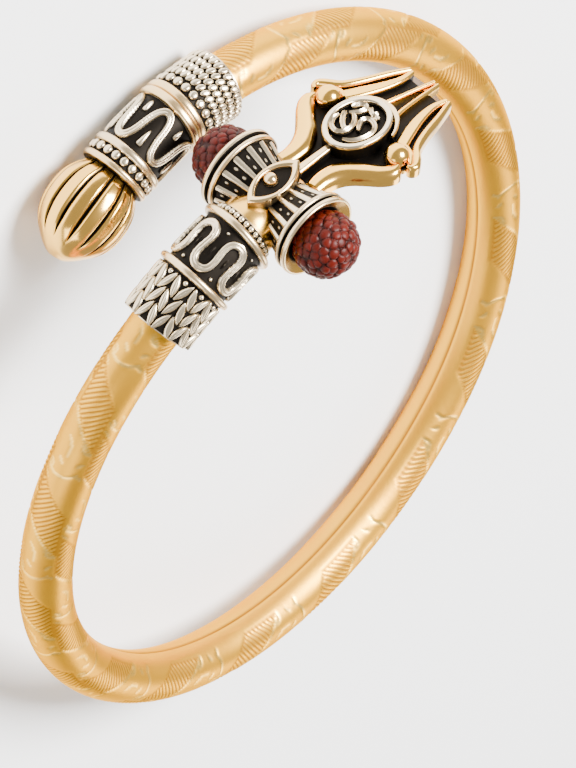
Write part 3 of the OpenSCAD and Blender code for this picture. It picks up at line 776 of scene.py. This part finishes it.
# Rows of place in the pair, lean and half width
LEAF_PAIR = ((0, 0.34, 0.43), (1, -0.4, 0.41))


def pointed(across, along, half_across, half_along, height, lean):
    """A leaf: its half width shrinks as 1 - (y / half length)^2 to a point, with a fine midrib."""
    c, s = math.cos(lean), math.sin(lean)
    x, y = across * c + along * s, along * c - across * s
    half = half_across * np.clip(1 - (y / half_along) ** 2, 0.001, 1)
    body = np.clip(1 - (x / half) ** 2, 0, 1) ** 0.4 * (np.abs(y) < half_along)
    return height * body * (1 - 0.2 * np.exp(-(x / 0.06) ** 2))


u, turn = grid(0.0, LEAF_COLLAR_LENGTH, 250, 384)
dome = np.sqrt(np.clip(DOME_R ** 2 - np.clip(u - DOME_FROM, 0, None) ** 2, 0.01, None)) - SKIN_UNDER
behind = np.where(u < LOOP_PANEL["to"], LOOP_PANEL["r"], dome)
base = np.where(u < LOOP_PANEL["from"], SLEEVE_R, behind)
relief = np.zeros_like(u)
leaf_turn = 2 * math.pi / LEAVES
for row in range(3):
    for k, lean, half in LEAF_PAIR:
        x = fold(turn - LEAF_START - k * leaf_turn, 2 * leaf_turn) * LEAF_GAUGE
        relief = np.maximum(relief, pointed(x, u - 0.93 - 1.6 * row, half, 1.17, 0.4, lean))
notch = fold(turn - LEAF_START - 0.55 * leaf_turn, 2 * leaf_turn) * 3.8
relief = np.maximum(relief, beaded(notch, u - 4.9, 0.3, 0.28, 0.34)) * (u < 5.4)
print("three rows of", LEAVES, "leaves")

# %% [markdown]
# Between two rings the wire makes six round loops. It swings more than the wave wire, so the loops
# are narrow at their feet. Small pips stand in them, and a row of fine grains comes before the dome.

# %% The looped wire and its pips
LOOP = {"repeats": 6, "start": math.radians(30.5), "middle": 8.65, "reach": 1.93, "swing": 0.112,
        "gauge": 3.75, "half": 0.38, "span": 0.8, "steps": 320}
FINE_GRAINS = 30

loops, low_side, high_side = winding(u, turn, LOOP)
pips = [beaded(low_side, u - 8.6, 0.12, 0.5, 0.16), beaded(high_side, u - 8.5, 0.12, 0.5, 0.16),
        beaded(high_side, u - 6.65, 0.24, 0.2, 0.26), beaded(low_side, u - 10.7, 0.2, 0.18, 0.22)]
grains = beaded(fold(turn, 2 * math.pi / FINE_GRAINS) * 3.4, u - 12.52, 0.34, 0.34, 0.34)
relief = np.max([relief, loops, *pips, grains], axis=0)
print(LOOP["repeats"], "loops and", FINE_GRAINS, "fine grains")

# %% [markdown]
# A ring closes each side of the panel. The dome is gold, and the rest is silver.

# %% The leaf collar
LOOP_RINGS = (5.75, 11.7)

radius = base + relief
for at in LOOP_RINGS:
    radius = ring_round(radius, u, at, 3.85, 0.37)
height = radius - base
on_dome = ease(u, 12.8, 13.0)
polish_and_painted_light = np.maximum(ease(height, 0.1, 0.32), on_dome)
ringed = np.max([ease(np.abs(u - at), 0.4, 0.34) for at in LOOP_RINGS], axis=0)
warmth = np.clip(0.1 + 0.9 * on_dome + 0.25 * ringed, 0, 1)
leaf_skin = collar_skin(u, turn, radius, polish_and_painted_light, warmth, TRIDENT_ARM["bend"])
leaf_collar = make_object("leaf_collar", leaf_skin, arm_place(TRIDENT_ARM, LEAF_FROM))

# %% [markdown]
# ## The drum and its seeds
#
# The damru is an hourglass, so it could be turned by a Screw modifier. But its ribs and pips need
# heights of their own, and so numpy turns it: an outline of radius against the distance from the
# waist, from the middle of one cup over its rim and the waist to the middle of the other.

# %% The outline of the drum
# Where the drum's waist lies along the arm, and a seed's middle from the waist
DRUM_AT = 72.5
SEED_AT = 7.15
CUP_R = 3.65
DRUM = arm_place(TRIDENT_ARM, DRUM_AT) @ turned("X", -90)

cup = [(CUP_R * math.sin(a), SEED_AT - CUP_R * math.cos(a)) for a in np.linspace(0.02, 1.06, 18)]
rim = [(3.56, 5.5), (4.2, 5.94), (4.32, 5.98), (4.44, 5.95), (4.53, 5.82), (4.55, 5.65),
       (4.5, 5.45), (4.36, 5.36), (4.14, 5.34), (4.12, 5.08), (4.36, 5.04), (4.48, 4.95),
       (4.5, 4.8), (4.46, 4.62), (4.3, 4.52), (3.88, 4.47)]
waist = [(2.62, 0.75), (2.5, 0.45), (2.42, 0.2), (2.4, 0.0)]


def stepped(points, step):
    """A line through points, cut into even steps."""
    points = np.array(points, float)
    length = np.concatenate([[0], np.cumsum(np.hypot(*np.diff(points, axis=0).T))])
    even = np.linspace(0, length[-1], int(length[-1] / step) + 1)
    return np.stack([np.interp(even, length, points[:, k]) for k in range(2)], axis=-1)


half = np.vstack([stepped(cup, 0.3), stepped(rim + waist, 0.068)])
outline = np.vstack([half * (1, -1), half[::-1][1:]])
print("the outline of the drum has", len(outline), "points")

# %% [markdown]
# Fourteen ribs run along the two cones and widen towards the rims, with two pips between each pair.
# The ribs are rubbed bright, and the ground between them stays black.

# %% The drum
RIBS = 14

turn = (np.arange(280) / 280 * 2 * math.pi)[None, :]
r, w, turn = np.broadcast_arrays(outline[:, :1], outline[:, 1:], turn)
rib_turn = 2 * math.pi / RIBS
across = fold(turn + 0.5 * rib_turn, rib_turn) * r
between = fold(turn, rib_turn) * r
on_cone = ease(np.abs(w), 0.45, 0.75) * ease(np.abs(w), 4.52, 4.42)
rib_half = 0.2 + 0.035 * np.abs(w)
relief = half_round(across, rib_half, 0.32) * on_cone
for at, side in ((2.6, 0.06), (3.75, -0.12)):
    relief = np.maximum(relief, beaded(between - side, np.abs(w) - at, 0.17, 0.28, 0.13))
in_cup = (r < 3.3) & (np.abs(w) > 3.4)
lip = ease(np.abs(w), 5.46, 5.52)
collar = ease(np.abs(w), 4.5, 4.56) * ease(np.abs(w), 5.06, 5.0) * (r > 4.2)
waist_band = ease(np.abs(w), 0.6, 0.4)
gilt = np.maximum(lip, (r < 4.0) & (np.abs(w) > 5.36) & ~in_cup)
polish_and_painted_light = np.max([ease(relief, 0.05, 0.2), gilt, collar, waist_band], axis=0) * ~in_cup
warmth = np.clip(0.1 + (0.25 + 0.65 * (r < 4.25)) * gilt + 0.25 * collar + 0.3 * waist_band, 0, 1)
radius = r + relief
points = np.stack([radius * np.cos(turn), radius * np.sin(turn), w], axis=-1)
drum = make_object("damru_ribbed", skin(points, polish_and_painted_light, warmth), DRUM)

# %% [markdown]
# A rudraksha is a knobbly fruit stone. A noise texture could roughen a ball, but its lumps would be
# soft, and the real knobs meet in sharp furrows. So each point looks for the nearest two of many
# middles, and a furrow runs where they are equally near. The middles lie on a spiral from pole to
# pole, each a golden angle on from the one before, shaken a little so that no row shows.

# %% A knobbly ball
SEED_R = 3.5
KNOBS = 160
KNOB_R = 0.18
FURROW = 0.025


def ball_points(rings, around, reach):
    """Points on a ball of radius 1. Latitudes go up to this share of the way to each pole."""
    share, turn = grid(-reach, reach, rings, around)
    lat = share * math.pi / 2
    return np.stack([np.cos(lat) * np.cos(turn), np.cos(lat) * np.sin(turn), np.sin(lat)], axis=-1)


def rudraksha(random):
    """A knobbly ball. F1 and F2 are the distances to the nearest two of the scattered middles. A knob
    is round, as sqrt(1 - (F1 / its radius)^2), and a furrow follows the line F2 - F1 = 0."""
    k = np.arange(KNOBS) + 0.5
    height = 1 - 2 * k / KNOBS
    angle = k * math.pi * (3 - math.sqrt(5))
    wide = np.sqrt(1 - height ** 2)
    middles = np.stack([wide * np.cos(angle), wide * np.sin(angle), height], axis=-1)
    middles += random.normal(0, 0.06, middles.shape)
    middles /= np.linalg.norm(middles, axis=1)[:, None]
    tall = random.uniform(0.5, 1.0, KNOBS)
    ball = ball_points(140, 190, 0.985)
    gap = np.sqrt(np.clip(2 - 2 * ball.reshape(-1, 3) @ middles.T, 0, None))
    nearest = gap.argmin(axis=1)
    two = np.partition(gap, 1, axis=1)[:, :2]
    values = (two[:, 0], two[:, 1] - two[:, 0], tall[nearest])
    near, edge, tall = (v.reshape(ball.shape[:2]) for v in values)
    crown = np.sqrt(np.clip(1 - (near / KNOB_R) ** 2, 0, 1)) * tall
    furrow = np.exp(-(edge / FURROW) ** 2)
    radius = SEED_R * (0.92 + 0.08 * crown - 0.02 * furrow)
    points = ball * radius[..., None] * (1, 1, 0.97)
    return skin(points, polish_and_painted_light=np.clip(0.1 + crown, 0, 1) * (1 - 0.6 * furrow))


print("a seed has", KNOBS, "knobs")

# %% [markdown]
# One seed sits in each cup of the drum. A random generator with a set seed shakes both, so that they
# differ from each other and yet come out the same in every run.

# %% The two seeds
random = np.random.default_rng(7)
seeds = {}
for name, way in (("seed_upper", 0), ("seed_lower", 180)):
    place = DRUM @ turned("X", way) @ shifted(0, 0, SEED_AT)
    seeds[name] = make_object(name, rudraksha(random), place)

# %% [markdown]
# ## The trident end
#
# The trishul is a flat casting that was bent to follow the band, though a little flatter. It could be
# modelled flat and then bent by a modifier. Here each place on it has a length `s` from the drum, a
# width `w` across and a height `h`, and a formula bends it.

# %% Places on a bent face
TRIDENT_BEND = 60.0
TRIDENT = arm_place(TRIDENT_ARM, DRUM_AT)


def on_face(s, w, h):
    """The point at a length, width and height on the bent face of the trident."""
    phi = s / TRIDENT_BEND
    reach = TRIDENT_BEND + h
    return np.stack([reach * np.cos(phi) - TRIDENT_BEND, w + 0 * phi, reach * np.sin(phi)], axis=-1)


def smoothed(way, steps):
    """A smooth line through rows of numbers: the cubic through each four that hits the middle two."""
    way = np.array(way, float)
    padded = np.vstack([way[:1], way, way[-1:]])
    a, b, c, d = (padded[k:len(padded) - 3 + k][:, None] for k in range(4))
    t = (np.arange(steps) / steps)[None, :, None]
    line = 0.5 * (2 * b + (c - a) * t + (2 * a - 5 * b + 4 * c - d) * t ** 2
                  + (3 * b - a - 3 * c + d) * t ** 3)
    return np.vstack([line.reshape(-1, way.shape[1]), way[-1:]])


print("the trident is bent to a radius of", TRIDENT_BEND, "mm")

# %% [markdown]
# Arms and prongs are strips: a section of widths and heights is swept along a way of places. The
# section also tells the finish: its back is the brightest, and its walls are duller.

# %% Strips and their sections
UNDERSIDE = 0.5


def strip(way, section, warmth=1.0, loop=False):
    """A strip along rows of (s, w, width). Its section is rows of (share across, height, polish)."""
    way, section = np.asarray(way, float), np.array(section, float)
    if loop:
        along = np.roll(way, -1, axis=0) - np.roll(way, 1, axis=0)
    else:
        along = np.gradient(way, axis=0)
    along = along[:, :2] / np.hypot(along[:, 0], along[:, 1])[:, None]
    across = section[None, :, 0] * way[:, None, 2]
    points = on_face(way[:, None, 0] - along[:, None, 1] * across,
                     way[:, None, 1] + along[:, None, 0] * across, section[None, :, 1])
    return skin(points, polish_and_painted_light=section[None, :, 2], warmth=warmth, loop=loop)


def round_back(low, top, rise):
    """A section with steep walls and a round back: heights follow a half ellipse over the walls."""
    share = np.linspace(-1, 1, 9)
    back = [(0.48 * x, top - rise + rise * math.sqrt(max(0, 1 - x * x * 0.97)), 1.0) for x in share]
    return [(-0.5, low, 0.7), (-0.5, top - rise - 0.25, 0.6), *back,
            (0.5, top - rise - 0.25, 0.6), (0.5, low, 0.7)]


def flat_back(low, top, ridges=False):
    """A section with a flat back and eased edges, or one with a ridge along each edge."""
    middle = [(-0.1, top, 1.0), (0.1, top, 1.0)]
    if ridges:
        middle = [(-0.12, top - 0.1, 0.55), (0.0, top - 0.14, 0.4), (0.12, top - 0.1, 0.55)]
    side = [(-0.5, low, 0.0), (-0.5, top - 0.45, 0.04), (-0.49, top - 0.18, 0.7),
            (-0.4, top - 0.05, 1.0), (-0.28, top, 1.0)]
    return [*side, *middle, *other_side(side)]


def other_side(section):
    """The rows of half a section, mirrored and in turned order."""
    return [(-x, h, p) for x, h, p in section[::-1]]


print("a flat back has", len(flat_back(0.0, 1.0)), "corners")

# %% [markdown]
# Both curled arms come out of the drum, swell, and end beside a ball. A side prong is an outer edge
# and an inner band that meet at its tip, with a black groove between. A small lobe curls from its
# foot round the ball and leaves a dark hole. The middle prong is a pair of thin ridges.

# %% The arms and prongs
EDGE_TOP = 2.2
KNUCKLE_AT = (11.25, 4.9, EDGE_TOP - 0.35)
KNUCKLE_R = 1.28

curl = smoothed([(2.9, 2.3, 1.9), (4.2, 2.15, 2.2), (5.6, 2.4, 2.4), (6.8, 3.15, 2.3), (7.8, 4.25, 2.1),
                 (8.8, 5.4, 1.95), (9.6, 6.0, 1.75), (10.15, 6.05, 1.3), (10.45, 5.95, 0.7)], 12)
outer = smoothed([(11.1, 6.6, 0.35), (11.3, 6.95, 0.7), (11.8, 6.98, 0.9), (12.4, 6.5, 0.95),
                  (13.5, 5.35, 0.9), (15.4, 4.45, 0.82), (17.8, 3.65, 0.76), (20.0, 2.8, 0.62)], 12)
inner = smoothed([(12.6, 4.15, 1.3), (14.2, 3.45, 1.25), (16.2, 2.72, 1.05), (18.3, 2.3, 0.75),
                  (20.0, 2.45, 0.5)], 12)
middle = smoothed([(13.7, 1.3, 0.62), (15.6, 0.84, 0.56), (18.0, 0.56, 0.5), (20.9, 0.26, 0.42)], 12)
lobe = smoothed([(12.35, 3.9, 0.5), (12.6, 4.7, 0.75), (12.3, 5.6, 0.8), (11.7, 6.35, 0.7),
                 (11.35, 6.7, 0.45)], 8)
knuckle = ball_points(32, 48, 0.98) * KNUCKLE_R + on_face(*np.array(KNUCKLE_AT))
sides = [strip(curl, round_back(UNDERSIDE + 0.12, EDGE_TOP, 0.75)),
         strip(outer, round_back(UNDERSIDE + 0.17, EDGE_TOP - 0.1, 0.4)),
         strip(inner, flat_back(UNDERSIDE + 0.22, EDGE_TOP - 0.18)),
         strip(middle, round_back(UNDERSIDE + 0.27, EDGE_TOP - 0.25, 0.3)),
         skin(knuckle, warmth=1.0),
         strip(lobe, round_back(UNDERSIDE + 0.1, EDGE_TOP - 0.05, 0.5))]
other_sides = [placed(part, np.diag([1.0, -1.0, 1.0, 1.0])) for part in sides]
print("one side of the trident has", len(sides), "parts")

# %% [markdown]
# Under the arms and prongs lies the blackened field, as one wide strip. Its underside and the foot
# of its edge are gold, as the trident's back is.

# %% The field
# Rows of length and half width
FIELD_EDGE = np.array([(2.9, 1.9), (5.4, 2.2), (7, 3.2), (8.4, 4.8), (9.8, 5.8), (11.3, 6.35),
                       (12.4, 5.9), (14, 5.0), (16, 4.2), (18, 3.5), (19.6, 2.8)])
FIELD_TOP = 1.3

s = np.linspace(FIELD_EDGE[0, 0], FIELD_EDGE[-1, 0], 90)
edge = np.interp(s, FIELD_EDGE[:, 0], FIELD_EDGE[:, 1])
wall = [(-0.5, UNDERSIDE, 0.75), (-0.5, UNDERSIDE + 0.3, 0.6), (-0.5, UNDERSIDE + 0.6, 0.0)]
top = [(x, FIELD_TOP, 0.02) for x in np.linspace(-0.5, 0.5, 24)]
field = strip(np.stack([s, 0 * s, 2 * edge], axis=-1), [*wall, *top, *other_side(wall)])
print("the field is", 2 * edge.max(), "mm wide")

# %% [markdown]
# The medallion is an oval ring with a black floor, and a crescent lies round its far end. A spine
# leads to it from the drum. All of them are strips again, the ring a closed one.

# %% The medallion
MEDALLION_AT = 10.5
MEDALLION_HALF = (3.35, 2.65)
MEDALLION_TOP = 3.2
FLOOR_TOP = 2.5
RING_W = 0.62
RING_STEPS = 120

angle = np.arange(RING_STEPS) / RING_STEPS * 2 * math.pi
oval = np.stack([MEDALLION_AT + MEDALLION_HALF[0] * np.cos(angle), MEDALLION_HALF[1] * np.sin(angle),
                 np.full(RING_STEPS, RING_W)], axis=-1)
ring = strip(oval, flat_back(UNDERSIDE + 0.06, MEDALLION_TOP), warmth=0.15, loop=True)
t = np.linspace(-1, 1, 40)
floor_way = np.stack([MEDALLION_AT + MEDALLION_HALF[0] * t * 0.97, 0 * t,
                      2 * MEDALLION_HALF[1] * np.sqrt(1 - (t * 0.985) ** 2)], axis=-1)
floor_side = [(-0.5, UNDERSIDE + 0.11, 0), (-0.5, FLOOR_TOP, 0)]
floor = strip(floor_way, [*floor_side, *other_side(floor_side)])
brow = np.linspace(-1.15, 1.15, 40)
brow_way = np.stack([MEDALLION_AT + (MEDALLION_HALF[0] + 0.78) * np.cos(brow),
                     (MEDALLION_HALF[1] + 0.72) * np.sin(brow),
                     0.55 * np.cos(brow * 1.1) + 0.12], axis=-1)
crescent = strip(brow_way, flat_back(UNDERSIDE + 0.09, 2.55), warmth=0.45)
spine = strip(smoothed([(3.0, 0, 0.95), (5.0, 0, 0.85), (7.0, 0, 0.75)], 8),
              flat_back(UNDERSIDE + 0.31, EDGE_TOP + 0.2), warmth=0.5)
print("the medallion is", 2 * MEDALLION_HALF[0] + RING_W, "mm long")

# %% [markdown]
# The sacred syllable stands on the floor. Text from a font would have flat, even strokes, so it is
# written as the caster did, with six strokes that taper and have a ridge along both edges: a bowl,
# its stem, a hook, a long tail, and the crescent run together with its dot.

# %% The sign and the whole trident
STROKE_W = 0.58
# Places are (along, across) from the middle of the medallion
SIGN = [[(-0.55, -2.0), (-1.3, -1.95), (-1.95, -1.5), (-2.15, -0.8), (-1.85, -0.25), (-1.2, 0.0),
         (-0.4, -0.15), (0.2, -0.6), (0.5, -1.2)],
        [(0.15, -1.85), (-0.45, -1.5), (-1.15, -0.75), (-1.3, -0.2)],
        [(0.3, -1.5), (1.1, -0.95), (1.75, -0.78), (2.1, -1.05), (1.95, -1.5), (1.5, -1.75),
         (1.0, -1.95)],
        [(-0.55, 0.8), (-0.05, 0.33), (0.55, 0.05), (1.1, 0.2), (1.25, 0.75), (1.0, 1.4), (0.4, 1.8),
         (-0.4, 1.85), (-1.2, 1.6), (-1.85, 1.2), (-2.35, 0.55)],
        [(2.3, -0.6), (1.95, -0.15), (1.95, 0.25), (2.35, 0.4)],
        [(1.6, 0.27), (1.85, 0.55), (1.85, 1.0)]]
strokes = []
for k, way in enumerate(SIGN):
    line = smoothed(way, 8) + (MEDALLION_AT, 0)
    share = np.linspace(0, 1, len(line))
    taper = STROKE_W * np.clip(4 * np.minimum(share, 1 - share) + 0.55, 0, 1)
    strokes.append(strip(np.column_stack([line, taper]),
                         flat_back(2.45, MEDALLION_TOP - 0.06 - 0.02 * k, ridges=True), warmth=0.15))

trident_parts = [*sides, *other_sides, field, ring, floor, crescent, spine, *strokes]
trident = make_object("trident_cast", joined(trident_parts), TRIDENT)

# %% [markdown]
# The plaque over the drum's waist is a pointed eye. A bevel on a flat outline would give its frame,
# but a skin of nested outlines gives the ball on its floor too: from the foot of the wall they step
# over the frame and shrink to the middle.

# %% The outline of an eye
EYE_HALF = (3.45, 1.72)
EYE_INNER = (2.4, 1.15)
EYE_STEPS = 160
EYE_TOP = 3.75


def eye_outline(half_l, half_w):
    """The two arcs of a pointed eye. Each is part of a circle of radius (l^2 + w^2) / 2w."""
    radius = (half_l ** 2 + half_w ** 2) / (2 * half_w)
    t = np.arange(EYE_STEPS) / EYE_STEPS * 4
    x = np.where(t < 2, 1 - t, t - 3) * half_l
    y = np.sqrt(radius ** 2 - x ** 2) - radius + half_w
    return np.stack([x, np.where(t < 2, y, -y)], axis=-1)


outside, inside = eye_outline(*EYE_HALF), eye_outline(*EYE_INNER)
print("the eye is", 2 * EYE_HALF[0], "mm long")

# %% [markdown]
# Each row of the table is one outline: the share of the way from the outer to the inner one, its
# height and its polish. The ball is the top of a sphere that stands in the floor, a little to one
# side as on the real casting.

# %% The plaque
BALL_R = 0.74
BALL_SHIFT = 0.38
BALL_FOOT = 3.42
EYE_FLOOR = 3.27
FRAME = [(0.0, 2.1, 0), (0.0, 3.3, 0.3), (0.02, 3.55, 0.8), (0.12, 3.7, 1), (0.3, EYE_TOP, 1),
         (0.6, EYE_TOP, 1), (0.85, 3.68, 1), (0.97, 3.5, 0.7), (1.0, 3.3, 0.1)]

rings = [np.column_stack([outside + (inside - outside) * m, np.full(EYE_STEPS, h)])
         for m, h, _ in FRAME]
masks = [np.full(EYE_STEPS, p) for _, _, p in FRAME]
for m in np.linspace(0.94, 0.04, 22):
    flat = inside * m
    rise = np.clip(BALL_R ** 2 - flat[:, 0] ** 2 - (flat[:, 1] + BALL_SHIFT) ** 2, 0, None)
    bump = BALL_FOOT + np.sqrt(rise)
    is_ball = bump > BALL_FOOT + 0.005
    rings.append(np.column_stack([flat, np.where(is_ball, bump, EYE_FLOOR)]))
    masks.append(is_ball.astype(float))
points = np.array(rings)
points = np.stack([points[..., 2], points[..., 1], -points[..., 0]], axis=-1)
plaque = make_object("eye_cast", skin(points, np.array(masks), warmth=0.5), TRIDENT)

# %% [markdown]
# ## The bud
#
# Fourteen flutes swell from the collar. Between them are sharp, blackened grooves that fade out
# before the smooth tip, which ends in a small dimple. One flute could be modelled and repeated by an
# Array, but it would leave seams, so a term that repeats round the skin makes them all at once.

# %% The bud
BUD_FROM = BEAD_FROM + BEADED_LENGTH + 0.1
BUD_R = 4.45
BUD_L = 9.6
FLUTES = 14
# Rows of the share of the length and the share of the radius
BUD_OUTLINE = [(0, 0.7), (0.04, 0.75), (0.1, 0.84), (0.2, 0.94), (0.32, 0.99), (0.42, 1.0),
               (0.52, 0.985), (0.62, 0.93), (0.71, 0.84), (0.79, 0.71), (0.86, 0.56), (0.92, 0.41),
               (0.965, 0.26), (0.985, 0.14), (0.975, 0.05)]

outline = smoothed(BUD_OUTLINE, 9)
share, swell = outline[:, :1], outline[:, 1:]
turn = (np.arange(FLUTES * 18) / (FLUTES * 18) * 2 * math.pi)[None, :]
gauge = fold(turn, 2 * math.pi / FLUTES) * FLUTES / math.pi
ends = ease(share, 0.86, 0.6)
valley = np.abs(gauge) ** 6
cut = np.exp(-((1 - np.abs(gauge)) / (0.07 + 0.17 * ends)) ** 2)
radius = BUD_R * swell * (1 - ends * (0.06 * valley + 0.05 * cut))
points = bent(share * BUD_L + 0 * turn, turn + 0 * share, radius, BUD_ARM["bend"])
polish_and_painted_light = 1 - ease(ends, 0.0, 0.3) * np.clip(1.5 * cut, 0, 1)
bud = make_object("bud_fluted", skin(points, polish_and_painted_light, warmth=1.0), arm_place(BUD_ARM, BUD_FROM))

# %% [markdown]
# ## Into the shared frame
#
# Each piece rides on the one body of the bangle, stands in for its measured part and gets its material.

# %% Riding, replacing and materials
PIECES = [(band, "band", "band_gold", band_material),
          (leaf_collar, "trident_collar", "oxidised_silver", silver_material),
          (drum, "damru", "oxidised_silver", silver_material),
          (plaque, "eye_plaque", "cast_gold", gold_material),
          (trident, "trident", "cast_gold", gold_material),
          (seeds["seed_upper"], "rudraksha_upper", "rudraksha", seed_material),
          (seeds["seed_lower"], "rudraksha_lower", "rudraksha", seed_material),
          (bead_collar, "bud_collar", "oxidised_silver", silver_material),
          (bud, "bud", "cast_gold", gold_material)]
for piece, node, slot, material in PIECES:
    piece.data.materials.append(material)
    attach(piece, "root")
    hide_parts(node)
print("placed", len(PIECES), "pieces")

# %% [markdown]
# ## Table and light
#
# The bangle lies on a pale table, as plain as paper. It is one face, wide enough that the picture
# shows none of its edges.

# %% Table
TABLE_HALF = 1.5
PAPER = (0.93, 0.93, 0.93, 1)

table_mesh = bpy.data.meshes.new("table")
corners = [(TABLE_HALF * x, TABLE_HALF * y, 0) for x, y in ((-1, -1), (1, -1), (1, 1), (-1, 1))]
table_mesh.from_pydata(corners, [], [(0, 1, 2, 3)])
table = bpy.data.objects.new("table", table_mesh)
bpy.context.scene.collection.objects.link(table)
paper = new_material("paper", Base_Color=PAPER, Roughness=0.9)[0]
table_mesh.materials.append(paper)
print("the table is", 2 * TABLE_HALF, "m wide")

# %% [markdown]
# Polished gold shows little more than what stands round it. So square lamps stand over the bangle
# and to its sides, in a room that is evenly white.

# %% Light
ROOM_LIGHT = 0.6


def soft_light(name, place, size, power, colour=(1, 1, 1)):
    """A square lamp at a place, in metres, that faces the bangle."""
    lamp = bpy.data.lights.new(name, "AREA")
    lamp.size, lamp.energy, lamp.color = size, power, colour
    made = bpy.data.objects.new(name, lamp)
    made.location = place
    made.rotation_euler = (Vector((0, 0, 0.01)) - Vector(place)).to_track_quat("-Z", "Y").to_euler()
    bpy.context.scene.collection.objects.link(made)
    return made


lights = [soft_light("key", (-0.3, -0.1, 0.45), 0.25, 15.0),
          soft_light("fill", (0.55, -0.3, 0.25), 0.35, 2.0),
          soft_light("back", (0.1, 0.6, 0.35), 0.35, 3.0, (1.0, 0.95, 0.88))]
world = bpy.data.worlds.new("room")
world.use_nodes = True
world.node_tree.nodes["Background"].inputs["Color"].default_value = (1.0, 1.0, 1.0, 1)
world.node_tree.nodes["Background"].inputs["Strength"].default_value = ROOM_LIGHT
bpy.context.scene.world = world
print(len(lights), "lamps stand round the bangle")
